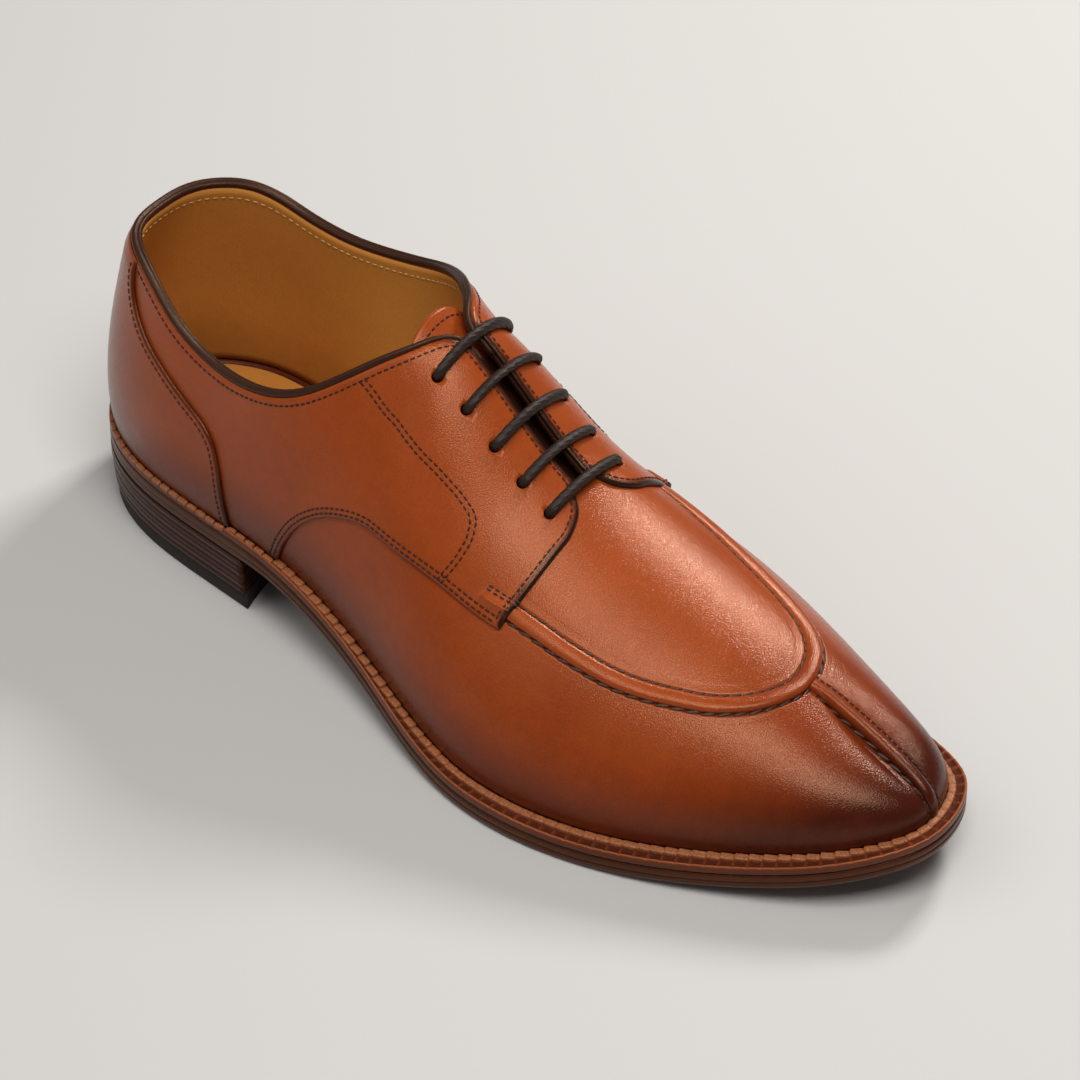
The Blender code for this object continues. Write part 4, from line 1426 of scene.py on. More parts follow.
@dataclass
class Panel:
    """Cut piece of leather laid over the upper, with a rounded and stained edge."""

    name: str
    border: Array
    stains: Array
    base: float
    thick: float
    edge_round: float = 1.0
    edge_height: float = 0.3
    step_s: float = 0.0036
    step_h: float = 0.0150
    rings: tuple = (0.14, 0.38, 0.75, 1.25)
    ring_keep: float = 0.8
    clear: float = 1.7
    border_parts: int = 4
    plan_scale: tuple = (410.0, 100.0)
    merge: float = 1e-6
    stain_width: float = 1.8
    stain_full: float = 0.55
    stain_dark: float = 0.35
    well_inside: float = 9.0
    row_lift: float = 0.06
    lifts: list = field(default_factory=list)
    extra: Optional[Array] = None

    def __post_init__(self) -> None:
        """Make the search tree of the border."""
        ahead = np.roll(self.border, -1, axis=0)
        parts = np.linspace(0, 1, self.border_parts, endpoint=False)
        dense = np.concatenate([self.border + (ahead - self.border) * t for t in parts])
        self.dense_stains = np.tile(self.stains, len(parts))
        self.tree = search_tree(LAST.surface(*dense.T))

    def inward(self) -> Array:
        """Direction into the panel, along the face.

        Returns:
            A unit vector for each border point.
        """
        ahead = np.roll(self.border, -1, axis=0)
        behind = np.roll(self.border, 1, axis=0)
        area = (self.border[:, 0] * ahead[:, 1] - ahead[:, 0] * self.border[:, 1]).sum()
        run = LAST.surface(*ahead.T) - LAST.surface(*behind.T)
        return unit(np.cross(LAST.normal(*self.border.T), run)) * np.sign(area)

    def inset(self, first: int, last: int, distance: float) -> Array:
        """Places in (s, h) beside a stretch of the border, at a distance inside it."""
        move = self.inward()[first:last] * distance
        return LAST.shifted(self.border[first:last], move)

    def row(self, place: Array) -> tuple[Array, Array]:
        """Line of stitches on the panel's face: its points and the directions up."""
        offset = self.offsets(place, np.full(len(place), self.well_inside)) + self.row_lift
        return LAST.lifted(*place.T, offset), LAST.normal(*place.T)

    def contains(self, place: Array) -> Array:
        """Whether places lie inside the border.

        Args:
            place: Places in (s, h).

        Returns:
            True or false for each.
        """
        start = self.border
        end = np.roll(start, -1, axis=0)
        inside = np.zeros(len(place), bool)
        for (a, b), (c, d) in zip(start, end):
            if b == d:
                continue
            crosses = (b > place[:, 1]) != (d > place[:, 1])
            inside ^= crosses & (place[:, 0] < a + (place[:, 1] - b) * (c - a) / (d - b))
        return inside

    def offsets(self, place: Array, away: Array) -> Array:
        """Distance of the panel's face from the upper.

        Args:
            place: Places in (s, h).
            away: How far each is from the border.

        Returns:
            A distance for each.
        """
        near = 1 - np.clip(away / self.edge_round, 0, 1)
        round_off = np.sqrt(np.clip(1 - near ** 2, 0, 1))
        offset = self.base + self.edge_height + (self.thick - self.edge_height) * round_off
        for lift in self.lifts:
            offset = offset + lift(place)
        return offset

    def plan(self) -> tuple[Array, list]:
        """Lay out the panel's points.

        Returns:
            Their places in (s, h), the border first, and its triangles.
        """
        inward = self.inward()
        low, high = self.border.min(0), self.border.max(0)
        s = np.arange(low[0], high[0], self.step_s)
        h = np.arange(low[1], high[1], self.step_h)
        grid = np.stack(np.meshgrid(s, h, indexing="ij"), -1)
        grid[1::2, :, 1] += self.step_h / 2
        grid = grid.reshape(-1, 2)
        grid = grid[self.contains(grid)]
        if self.extra is not None:
            inside = (grid > self.extra.min(0)).all(1) & (grid < self.extra.max(0)).all(1)
            grid = np.concatenate([grid[~inside], self.extra[self.contains(self.extra)]])
        grid = grid[self.away(grid)[0] > self.clear]
        rings = []
        for distance in self.rings:
            ring = LAST.shifted(self.border, inward * distance)
            ring = ring[self.contains(ring)]
            rings.append(ring[self.away(ring)[0] > self.ring_keep * distance])
        scale = np.array(self.plan_scale)
        spots = [Vector(spot) for spot in np.concatenate([self.border, *rings, grid]) * scale]
        count = len(self.border)
        edges = [(i, (i + 1) % count) for i in range(count)]
        placed, _, faces, _, _, _ = delaunay_2d_cdt(spots, edges, [list(range(count))], 1, self.merge)
        return np.array([tuple(p) for p in placed]) / scale, faces

    def away(self, place: Array) -> tuple[Array, Array]:
        """How far places are from the border, and the stain of the nearest border point to each."""
        found = np.array([self.tree.find(Vector(spot))[1:] for spot in LAST.surface(*place.T)])
        return found[:, 1], self.dense_stains[found[:, 0].astype(int)]

    def build(self, material: Material) -> Object:
        """Make the panel as a closed piece.

        Args:
            material: Its leather.

        Returns:
            The piece.
        """
        place, triangles = self.plan()
        away, stains = self.away(place)
        top = LAST.lifted(*place.T, self.offsets(place, away))
        bottom = LAST.lifted(*place.T, self.base)
        faces = slab_faces(triangles, len(place))
        piece = make_piece(self.name, np.concatenate([top, bottom]), faces, [material])
        dark = stains * (1 - smoothstep(self.stain_full * self.stain_width, self.stain_width, away))
        burnish = np.clip(BURNISH_AND_SHADE.at(top) + self.stain_dark * dark, 0, 1)
        return write_tones(piece, np.tile(burnish, 2), np.tile(dark, 2))


@dataclass
class Quarter:
    """Quarter laid over the vamp, with its facing, seams and dart."""

    bench: Bench
    side: Side
    back: float = 0.006
    foot: float = 0.003
    collar_steps: int = 240
    front_steps: int = 90
    lower_steps: int = 140
    foot_steps: int = 110
    back_steps: int = 60
    throat_span: tuple = (126.0, 134.0)
    lower_stain: float = 0.12
    front_row: float = 2.3
    front_from: float = 20.0
    front_trim: int = 4
    lower_rows: tuple = (1.3, 2.9)
    lower_trim: tuple = (5, 1)
    eyestay_gap: float = 0.8
    eyestay_steps: int = 90
    dart_rows: tuple = (0.6, 1.7)
    dart_steps: int = 12
    dart_bump: float = -1.9
    dart_spread: float = 1.6
    dart_rise: float = 1.5
    dart_from: tuple = (-2.5, 1.5)
    dart_to: tuple = (8.5, 12.5)
    dart_past: tuple = (0.012, 0.005)
    dart_band: tuple = (-0.066, 0.030)
    dart_columns: int = 34
    dart_across: int = 23

    def __post_init__(self) -> None:
        """Lay out the border."""
        corner = station(QUARTER_FRONT[0][0])
        collar_s = np.linspace(self.back, corner, self.collar_steps, endpoint=False)
        collar = np.stack([collar_s, LAST.facing_height(self.side.place(collar_s))], 1)
        front = edge_path(QUARTER_FRONT, self.front_steps)[:-1]
        lower = edge_path(QUARTER_LOWER, self.lower_steps)[:-1]
        foot_s = np.linspace(station(QUARTER_LOWER[-1][0]), self.back, self.foot_steps, endpoint=False)
        foot = np.stack([foot_s, np.full(self.foot_steps, self.foot)], 1)
        back_h = np.linspace(self.foot, collar[0, 1], self.back_steps, endpoint=False)
        back = np.stack([np.full(self.back_steps, self.back), back_h], 1)
        parts = [collar, front, lower, foot, back]
        self.ends = np.cumsum([0] + [len(part) for part in parts])
        border = np.concatenate(parts)
        border[:, 1] = np.maximum(border[:, 1], self.foot)
        throat = smoothstep(*station(self.throat_span), collar_s)
        stains = np.concatenate([throat, np.ones(len(front)), np.full(len(lower), self.lower_stain),
                                 np.zeros(len(foot) + len(back))])
        border[:, 0] = self.side.place(border[:, 0])
        self.panel = Panel(f"quarter_{self.side.name.lower()}", border, stains, LAST.gap, LAST.quarter_thick)
        self.panel.lifts.append(self.dart_lift)
        self.panel.extra = self.dart_grid()

    def on_side(self, place: Array) -> Array:
        """Places in (s, h) of the lateral side, moved to this quarter's side."""
        return np.stack([self.side.place(place[:, 0]), place[:, 1]], 1)

    def dart_grid(self) -> Array:
        """Close places over the dart, so that its rise is smooth.

        Returns:
            The places in (s, h).
        """
        (start_s, start_h), (end_s, end_h) = edge_path(DART, 2)
        s = np.linspace(start_s - self.dart_past[0], end_s + self.dart_past[1], self.dart_columns)
        up = np.linspace(*self.dart_band, self.dart_across)
        h = start_h + (end_h - start_h) / (end_s - start_s) * (s - start_s)
        return self.on_side(np.stack([np.repeat(s, len(up)), (h[:, None] + up).ravel()], 1))

    def beside(self, place: Array) -> Array:
        """Direction up the quarter, across a line of places, at each of them."""
        across = np.cross(LAST.normal(*place.T), np.gradient(LAST.surface(*place.T), axis=0))
        return unit(across) * -self.side.value

    def dart_lift(self, place: Array) -> Array:
        """Rise of the quarter over its short dart.

        Args:
            place: Places in (s, h).

        Returns:
            A rise for each.
        """
        line = self.on_side(edge_path(DART, 2))
        start, end = LAST.surface(*line.T)
        axis = unit(end - start)
        offset = LAST.surface(*place.T) - start
        along = offset @ axis
        across = (offset - along[:, None] * axis) @ self.beside(line)[0]
        bump = self.dart_rise * np.exp(-((across - self.dart_bump) / self.dart_spread) ** 2)
        return bump * smoothstep(*self.dart_from, along) * (1 - smoothstep(*self.dart_to, along))

    def build(self) -> Object:
        """Make the quarter's panel, still without its eyelets."""
        return self.panel.build(self.bench.finishes.of(TAN_CALF))

    def add_rows(self) -> None:
        """Add the quarter's rows of stitches."""
        panel = self.panel
        s = self.side.place(panel.border[:, 0])
        start = int(np.searchsorted(s[:int(np.argmax(s))], station(self.front_from)))
        lines = [panel.inset(start, self.ends[2] - self.front_trim, self.front_row)]
        first = self.ends[2] + self.lower_trim[0]
        last = self.ends[3] - self.lower_trim[1]
        lines += [panel.inset(first, last, distance) for distance in self.lower_rows]
        for table, steps, gaps in ((EYESTAY, self.eyestay_steps, (-self.eyestay_gap, self.eyestay_gap)),
                                   (DART, self.dart_steps, self.dart_rows)):
            line = self.on_side(edge_path(table, steps))
            lines += [LAST.shifted(line, self.beside(line) * gap) for gap in gaps]
        for line in lines:
            self.bench.work.add(SEAM_STITCH, *panel.row(line))


@dataclass
class Counter:
    """Counter patch round the back of the heel, over both quarters."""

    bench: Bench
    edge_steps: int = 130
    top_steps: int = 60
    foot_steps: int = 120
    foot: float = 0.003
    below_top: float = 0.004
    short: float = 0.008
    stain: float = 0.7
    stain_width: float = 1.0
    step_s: float = 0.0045
    row_in: float = 2.2
    row_trim: int = 2
    skive: float = 0.8
    skive_height: float = 0.06

    def skived(self, place: Array) -> Array:
        """How far the patch is pared down under the collar's binding, as a negative lift."""
        below = LAST.top_height(place[:, 0]) - place[:, 1]
        return -self.skive * (1 - smoothstep(0.0, self.skive_height, below))

    def build(self) -> None:
        """Make the patch and its stitches."""
        edge = edge_path(COUNTER_EDGE, self.edge_steps)
        edge = edge[edge[:, 1] < LAST.top_height(edge[:, 0]) - self.short]
        edge[:, 1] = np.maximum(edge[:, 1], self.foot)
        top_s = np.linspace(edge[-1, 0], -edge[-1, 0], self.top_steps)
        top = np.stack([top_s, LAST.top_height(top_s) - self.below_top], 1)
        medial = edge[::-1] * np.array([-1.0, 1.0])
        foot_s = np.linspace(-edge[0, 0], edge[0, 0], self.foot_steps)[1:-1]
        foot = np.stack([foot_s, np.full(len(foot_s), self.foot)], 1)
        parts = [edge, top, medial, foot]
        stains = np.repeat([self.stain, 0.0, self.stain, 0.0], [len(part) for part in parts])
        panel = Panel("heel_counter", np.concatenate(parts), stains, 2 * LAST.gap + LAST.quarter_thick,
                      LAST.counter_thick, step_s=self.step_s, stain_width=self.stain_width)
        panel.lifts.append(self.skived)
        settle(panel.build(self.bench.finishes.of(TAN_CALF)), "tan_calf", "heel_counter")
        for start in (0, len(edge) + len(top)):
            line = panel.inset(start + self.row_trim, start + len(edge) - self.row_trim, self.row_in)
            self.bench.work.add(SEAM_STITCH, *panel.row(line))


@dataclass
class Collar:
    """Rolled binding along the collar and the stitches inside it."""

    bench: Bench
    end_x: float = 140.0
    taper_x: float = 118.0
    slim: float = 0.55
    steps: int = 420
    half: float = 1.65
    clear: float = 0.15
    radius: float = 1.15
    groove: float = 0.42
    groove_width: float = 0.28
    fuller_below: float = 0.25
    raised: float = 0.75
    tone: float = 0.3
    sides: int = 28
    lining_row: float = 4.0
    row_lift: float = 0.05

    def build(self) -> None:
        """Make the binding and the lining's stitches."""
        reach = station(self.end_x)
        s = np.linspace(reach, -reach, self.steps)
        tops = LAST.top_height(s)
        middle = (LAST.gap + LAST.quarter_thick - LAST.wall) / 2
        edge = LAST.lifted(s, tops, middle)
        normal = LAST.normal(s, tops)
        rise = unit(np.cross(np.gradient(edge, axis=0), normal))
        turn = np.linspace(0, 2 * np.pi, self.sides, endpoint=False)
        pinch = 1 - self.groove * np.exp(-((np.cos(turn)) / self.groove_width) ** 2) * (np.sin(turn) > 0)
        across = self.half * np.cos(turn)
        up = self.radius * np.sin(turn)
        up = up * pinch + np.where(np.sin(turn) < 0, self.fuller_below * up, 0)
        full = 1 - (1 - self.slim) * smoothstep(station(self.taper_x), station(self.end_x), np.abs(s))
        centre = edge + rise * ((self.clear + self.radius * self.raised) * full)[:, None]
        sections = centre[:, None] + normal[:, None] * (full[:, None] * across)[..., None]
        sections = sections + rise[:, None] * (full[:, None] * up)[..., None]
        piece = loft("collar_binding", sections, self.bench.finishes.of(DARK_CALF), ladder=False)
        settle(write_tones(piece, self.tone), "dark_calf", "collar_binding")
        rib = np.linalg.norm(LAST.slopes(s, tops)[1], axis=1)
        inner = tops - self.lining_row / rib
        points = LAST.lifted(s, inner, -LAST.wall - self.row_lift)
        self.bench.work.add(LINING_STITCH, points, -LAST.normal(s, inner))


@dataclass
class Lacing:
    """Eyelets and the lace in straight bars."""

    bench: Bench
    rows: int = 5
    first_x: float = 132.6
    pitch_x: float = 10.1
    half: float = 15.0
    hole: float = 1.75
    punch_depth: float = 14.0
    hole_sides: int = 20
    radius: float = 1.3
    broad: float = 1.22
    flat: float = 0.92
    clear: float = 0.12
    under: float = 0.9
    bar: float = 0.66
    bar_steps: int = 5
    lead: tuple = ((0.25, 0.40), (0.95, 0.84), (2.6, 1.0))
    bend: tuple = ((3.4, 1.0), (0.9, 0.72))
    steps: int = 900
    sides: int = 28
    strands: int = 7
    twist: float = 2.0
    ply: float = 0.055

    def __post_init__(self) -> None:
        """Find the eyelets on the upper."""
        self.spots = []
        for k in range(self.rows):
            x = self.first_x + k * self.pitch_x
            ends = {side: LAST.centre_y + side * self.half for side in (-1, 1)}
            self.spots.append({side: self.bench.view.at(x, y) for side, y in ends.items()})

    def punch(self, pieces: Sequence[Object]) -> None:
        """Cut the eyelets through pieces.

        Args:
            pieces: The pieces.
        """
        edit = bmesh.new()
        for row in self.spots:
            for point, normal in row.values():
                turn = Vector(normal).to_track_quat("Z", "Y").to_matrix().to_4x4()
                turn.translation = Vector(LAST.world(point))
                bmesh.ops.create_cone(edit, cap_ends=True, segments=self.hole_sides, radius1=self.hole * MM,
                                      radius2=self.hole * MM, depth=self.punch_depth * MM, matrix=turn)
        mesh = bpy.data.meshes.new("eyelet_punch")
        edit.to_mesh(mesh)
        edit.free()
        cutter = add_object("eyelet_punch", mesh)
        for piece in pieces:
            cut = piece.modifiers.new("eyelets", "BOOLEAN")
            cut.operation = "DIFFERENCE"
            cut.solver = "EXACT"
            cut.object = cutter
            bake_modifiers(piece)
        bpy.data.objects.remove(cutter, do_unlink=True)

    def route(self) -> Array:
        """Way of the lace, from the lowest bar up.

        Returns:
            The points that it runs through.
        """
        over = LAST.gap + LAST.quarter_thick + self.clear + self.radius
        under = -(LAST.wall + self.under + self.radius)
        bar = np.linspace(self.bar, -self.bar, self.bar_steps) * self.half
        points = []
        side = -1
        for k in range(self.rows - 1, -1, -1):
            x = self.first_x + k * self.pitch_x
            first, first_up = self.spots[k][side]
            last, last_up = self.spots[k][-side]
            below = min(k + 1, self.rows - 1)
            above = max(k - 1, 0)
            come = unit(self.spots[below - 1][side][0] - self.spots[below][side][0])
            go = unit(self.spots[above][-side][0] - self.spots[above + 1][-side][0])
            points += [first - come * back + first_up * under * deep for back, deep in self.bend]
            points.append(first)
            points += [self.above(x, side * (self.half - on), over * rise) for on, rise in self.lead]
            points += [self.above(x, side * y, over) for y in bar]
            points += [self.above(x, -side * (self.half - on), over * rise) for on, rise in self.lead[::-1]]
            points.append(last)
            points += [last + go * on + last_up * under * deep for on, deep in self.bend[::-1]]
            side = -side
        return np.array(points)

    def above(self, x: float, y: float, height: float) -> Array:
        """Point over the upper at x, at y from its middle line."""
        point, normal = self.bench.view.at(x, LAST.centre_y + y)
        return point + normal * height

    def build(self) -> None:
        """Make the lace."""
        line = path_spline(self.route(), self.steps)
        along = unit(np.gradient(line, axis=0))
        side = np.zeros_like(line)
        guide = np.array([1.0, 0.0, 0.0])
        for i in range(self.steps):
            guide = unit(guide - along[i] * np.dot(guide, along[i]))
            side[i] = guide
        other = np.cross(along, side)
        length = np.append(0.0, np.cumsum(np.linalg.norm(np.diff(line, axis=0), axis=1)))
        turn = np.linspace(0, 2 * np.pi, self.sides, endpoint=False)
        waves = np.cos(self.strands * turn[None, :] - self.twist * length[:, None])
        radius = self.radius * (1 + self.ply * waves)
        sections = (line[:, None] + side[:, None] * (self.broad * radius * np.cos(turn))[..., None]
                    + other[:, None] * (self.flat * radius * np.sin(turn))[..., None])
        piece = loft("lace", sections, self.bench.finishes.of(LACE_CORD), ladder=False)
        settle(piece, "lace_cord", "lace")


@dataclass
class Tongue:
    """Tongue under the facings."""

    bench: Bench
    lacing: Lacing
    thick: float = 1.8
    lace_thick: float = 2.4
    reach: float = 17.0
    front_x: float = 189.0
    last_x: float = 136.0
    half: float = 18.0
    ramp: float = 16.0
    along_steps: int = 60
    across_steps: int = 49
    tip: tuple = ((0.0, 1.0), (0.45, 0.99), (0.82, 0.965), (0.95, 0.93), (1.0, 0.87))
    tip_steps: int = 22
    tip_run: int = 4
    rim_steps: tuple = (0.9, 0.75)
    rim_width: float = 1.2
    rim_drop: float = 0.5
    rim_raise: float = 0.45
    tone: float = 0.05
    # painted shade where the tongue shows in the throat's gap
    shade_half: float = 10.0
    shade_fade: float = 1.5
    shade_past: tuple = (-7.0, 1.0)
    shade: float = 0.96
    row_at: float = 0.94
    row_trim: int = 4
    row_lift: float = 0.06

    def grid(self) -> Array:
        """Lay out the tongue's face, from its front up to its tip.

        Returns:
            Its points, row by row.
        """
        deep = LAST.wall + self.lacing.under + self.lace_thick + self.lacing.under
        across = np.linspace(-1, 1, self.across_steps)
        rows = []
        for x in np.linspace(self.front_x, self.last_x, self.along_steps):
            near = np.clip((self.front_x - x) / self.ramp, 0, 1)
            offset = (LAST.wall + LAST.gap) + (deep - LAST.wall - LAST.gap) * near
            spots = [self.bench.view.at(x, LAST.centre_y + a * self.half) for a in across]
            rows.append(np.array([point - normal * offset for point, normal in spots]))
        middle = self.across_steps // 2
        run = unit(rows[-1][middle] - rows[-self.tip_run][middle])
        start = rows[-1]
        for reach, narrow in path_spline(self.tip, self.tip_steps)[1:]:
            row = start + run * self.reach * reach
            rows.append(row[middle] + (row - row[middle]) * narrow)
        return np.array(rows)

    def build(self) -> None:
        """Make the tongue and the stitches along its top."""
        grid = self.grid()
        normal = unit(np.cross(np.gradient(grid, axis=1), np.gradient(grid, axis=0)))
        normal = normal * np.sign(normal[..., 2].mean())
        count, width = grid.shape[:2]
        row = np.arange(count)[:, None]
        column = np.arange(width)[None, :]
        from_end = np.minimum(row, count - 1 - row) * self.rim_steps[0]
        from_side = np.minimum(column, width - 1 - column) * self.rim_steps[1]
        near = 1 - np.clip(np.minimum(from_end, from_side) / self.rim_width, 0, 1)
        thin = 1 - np.sqrt(np.clip(1 - near ** 2, 0, 1))
        top = grid - normal * (self.rim_drop * self.thick * thin)[..., None]
        bottom = grid - normal * (self.thick - self.rim_raise * self.thick * thin)[..., None]
        size = count * width
        faces = slab_faces(grid_faces(count, width, wrap=False).tolist(), size)
        points = np.concatenate([top.reshape(-1, 3), bottom.reshape(-1, 3)])
        piece = make_piece("tongue", points, faces, [self.bench.finishes.of(TAN_CALF)])
        # Painted shade: the tongue's top is blacked where it shows between the facings.
        from_middle = np.abs(points[:, 1] - LAST.centre_y)
        gap_shade = 1 - smoothstep(self.shade_half - self.shade_fade, self.shade_half, from_middle)
        ends = [self.last_x + past for past in self.shade_past]
        gap_shade = gap_shade * smoothstep(*ends, points[:, 0])
        gap_shade[size:] = 0.0
        write_tones(piece, np.clip(BURNISH_AND_SHADE.at(points) + self.tone, 0, 1), self.shade * gap_shade)
        settle(piece, "tan_calf", "tongue")
        back = int(np.argmin(np.abs(np.linspace(0, 1, count) - self.row_at)))
        kept = slice(self.row_trim, -self.row_trim)
        ups = normal[back, kept]
        self.bench.work.add(SEAM_STITCH, top[back, kept] + ups * self.row_lift, ups)


@dataclass
class Sole:
    """Outsole, welt, insole and stacked heel."""

    bench: Bench
    around: int = 256
    heel_span: tuple = (-4.0, 12.0)
    square_edge: float = 0.3
    square_within: float = 2.5
    edge_shape: tuple = (
        # inset, height, tone; from the middle of the underside out and up
        (9.0, 0.0, 0.3), (7.6, 0.0, 0.3), (7.2, 0.45, 0.3), (6.8, 0.45, 0.3), (6.4, 0.0, 0.3),
        (2.2, 0.0, 0.3), (1.2, 0.12, 0.55), (0.7, 0.4, 0.55), (0.3, 0.9, 0.55), (0.08, 1.6, 0.55),
        (0.0, 2.3, 0.55), (0.03, 2.75, 0.45), (0.28, 2.95, 0.75), (0.28, 3.1, 0.75), (0.03, 3.3, 0.45),
        (0.0, 4.0, 0.45), (0.05, 4.7, 0.45), (0.25, 5.2, 0.75), (0.6, 5.5, 0.45))
    welt_in: float = 1.4
    welt_shape: tuple = (
        # inset, height, tone, notch; from the underside out and over the bead
        (0.5, 5.8, 0.85, 0.0), (0.15, 6.0, 0.8, 0.0), (0.0, 6.5, 0.75, 0.0), (0.0, 7.7, 0.7, 0.0),
        (0.05, 8.3, 0.5, 0.1), (0.22, 8.62, 0.12, 0.3), (0.5, 8.7, 0.1, 0.35), (0.78, 8.5, 0.35, 0.2),
        (0.98, 8.15, 0.8, -0.2), (1.25, 8.0, 0.9, -0.5))
    bed_in: float = 2.2
    bed_least: float = 1.35
    bed_past: float = 0.25
    seam_height: float = 8.1
    seam_half: float = 0.3
    dark_tone: float = 0.9
    mark_above: float = 0.75
    mark_light: float = 0.45
    wheel_pitch: float = 4.0
    wheel_steps: int = 10
    wheel_ridge: float = 0.10
    wheel_rise: float = 0.5
    wheel_fine: int = 4001
    stitch_in: float = 1.15
    stitch_height: float = 8.45
    insole_proud: float = 0.2
    insole_tone: float = 0.35
    # inset, depth under the top
    insole_shape: tuple = ((0.0, 0.5), (0.25, 0.12), (0.8, 0.0))
    top_piece: float = 6.0
    top_piece_in: float = 0.5
    top_piece_round: tuple = (0.15, 0.2)
    top_piece_corner: tuple = (0.3, 0.25)
    soft: float = 0.5
    lifts: int = 3
    taper: float = 1.0
    ease: float = 0.35
    corner_in: float = 0.08
    corner_up: float = 0.15
    line_in: float = 0.22
    line_half: float = 0.2
    lift_tone: float = 0.35
    line_tone: float = 0.8
    breast_hollow: float = 5.0
    heel_around: int = 121
    heel_across: int = 33

    def stations(self) -> Array:
        """Loop parameters of the sole's columns."""
        return np.linspace(0, 2, self.around, endpoint=False)

    def add_outsole(self) -> None:
        """Leather outsole with a rounded edge and a closed channel underneath."""
        s = self.stations()
        start, end = (LAST.breast + past for past in self.heel_span)
        square = 1 - (1 - self.square_edge) * (1 - smoothstep(start, end, LAST.outline(s)[:, 0]))
        loops = []
        for inset, z, _ in self.edge_shape:
            loops.append(LAST.sole_loop(s, inset * (square if inset < self.square_within else 1.0), z))
        piece = loft("outsole", loops, self.bench.finishes.of(SOLE_EDGE))
        tones = np.repeat([tone for _, _, tone in self.edge_shape], self.around)
        settle(write_tones(piece, tones), "sole_leather", "outsole")

    def wheel(self) -> tuple[Array, Array]:
        """Space the welt's columns evenly along its stitches.

        Returns:
            Their stations, and how far each stands on a wheel mark.
        """
        fine = np.linspace(0, 2, self.wheel_fine)
        line = LAST.sole_loop(fine, LAST.welt_out(fine) - self.stitch_in, 0.0)
        run = np.append(0.0, np.cumsum(np.linalg.norm(np.diff(line[:, :2], axis=0), axis=1)))
        cells = round(run[-1] / self.wheel_pitch)
        step = np.arange(cells * self.wheel_steps)
        phase = step % self.wheel_steps / self.wheel_steps
        mark = np.exp(-(np.minimum(phase, 1 - phase) / self.wheel_ridge) ** 2)
        return np.interp(step / len(step) * run[-1], run, fine), mark

    def add_welt(self) -> None:
        """Welt with a notched bead along its edge, wheel marks and a row of heavy stitches."""
        s, mark = self.wheel()
        out = LAST.welt_out(s)
        inner = out + LAST.wall + self.welt_in
        bed = np.maximum(out - self.bed_in, self.bed_least)
        bead_in, bead_z = self.welt_shape[-1][:2]
        bed_z = bead_z + self.wheel_rise * mark
        rows = [(inset, z - notch * mark, tone) for inset, z, tone, notch in self.welt_shape]
        rows += [((bead_in + bed) / 2, bed_z, self.dark_tone), (bed, bed_z, self.dark_tone)]
        loops = [LAST.sole_loop(s, inset, z) for inset, z, _ in rows]
        tones = [tone - self.mark_light * mark * (tone > self.mark_above) for _, _, tone in rows]
        under_upper = [(bed + self.bed_past, self.seam_height), (out - self.seam_half, self.seam_height),
                       (out + self.seam_half, LAST.edge), (inner, LAST.edge),
                       (inner, LAST.sole_thick + LAST.gap)]
        loops += [LAST.sole_loop(s, inset, z) for inset, z in under_upper]
        tones += [np.full(len(s), self.dark_tone) for _ in under_upper]
        piece = loft("welt", loops, self.bench.finishes.of(WELT), ring=True)
        settle(write_tones(piece, np.concatenate(tones)), "welt_leather", "welt")
        self.add_rows(s[self.wheel_steps // 2::self.wheel_steps])

    def add_rows(self, s: Array) -> None:
        """Add the welt's stitches, narrower where the quarters and the counter cover the welt.

        Args:
            s: Loop parameters of the stitches.
        """
        quarter = LAST.gap + LAST.quarter_thick
        counter = quarter + LAST.gap + LAST.counter_thick
        from_heel = np.sort((s + 1) % 2) - 1
        for stitch, line in ((WELT_STITCH, np.sort(from_heel % 2)), (HEEL_STITCH, from_heel)):
            near = np.abs((line + 1) % 2 - 1)
            cover = np.where(near < station(QUARTER_LOWER[-1][0]), quarter, 0.0)
            cover = np.where(near < station(COUNTER_EDGE[0][0]), counter, cover)
            points = LAST.sole_loop(line, LAST.welt_out(line) - cover - stitch.width / 2, self.stitch_height)
            points = points[(cover == 0) == (stitch is WELT_STITCH)]
            self.bench.work.add(stitch, points, np.tile([0.0, 0.0, 1.0], (len(points), 1)))

    def add_insole(self) -> None:
        """Insole with its bare sock liner."""
        s = self.stations()
        inset = LAST.welt_out(s) + LAST.wall + self.welt_in + LAST.gap
        high = LAST.edge + self.insole_proud
        loops = [LAST.sole_loop(s, inset, LAST.sole_thick + LAST.gap)]
        loops += [LAST.sole_loop(s, inset + step, high - depth) for step, depth in self.insole_shape]
        piece = loft("insole", loops, self.bench.finishes.of(LINING))
        settle(write_tones(piece, self.insole_tone), "lining_leather", "insole")

    def heel_loop(self, inset: float, z: float) -> Array:
        """Loop of one heel layer: the outline round the back, closed by the hollow breast.

        Args:
            inset: How far inside the outsole's outline.
            z: Height over the floor.

        Returns:
            Points of the loop.
        """
        reach = station(LAST.breast)
        s = np.linspace(reach, -reach, self.heel_around)
        edge = LAST.outline(s) - LAST.outward(s) * inset
        t = np.linspace(0, 1, self.heel_across)[1:-1]
        breast = edge[-1] + (edge[0] - edge[-1]) * t[:, None]
        breast[:, 0] -= self.breast_hollow * 4 * t * (1 - t)
        plan = np.concatenate([edge, breast])
        return np.concatenate([plan, np.full((len(plan), 1), z)], 1)

    def add_top_piece(self) -> None:
        """Rubber top piece of the heel."""
        foot = self.taper + self.top_piece_in
        upper_soft, upper_in = self.top_piece_corner
        shape = [(self.soft, 0.0), self.top_piece_round, (0.0, self.soft),
                 (0.0, self.top_piece - upper_soft), (upper_in, self.top_piece)]
        loops = [self.heel_loop(foot + step, z) for step, z in shape]
        piece = loft("heel_top_piece", loops, self.bench.finishes.of(RUBBER), ladder=False)
        settle(piece, "top_piece_rubber", "heel_top_piece")

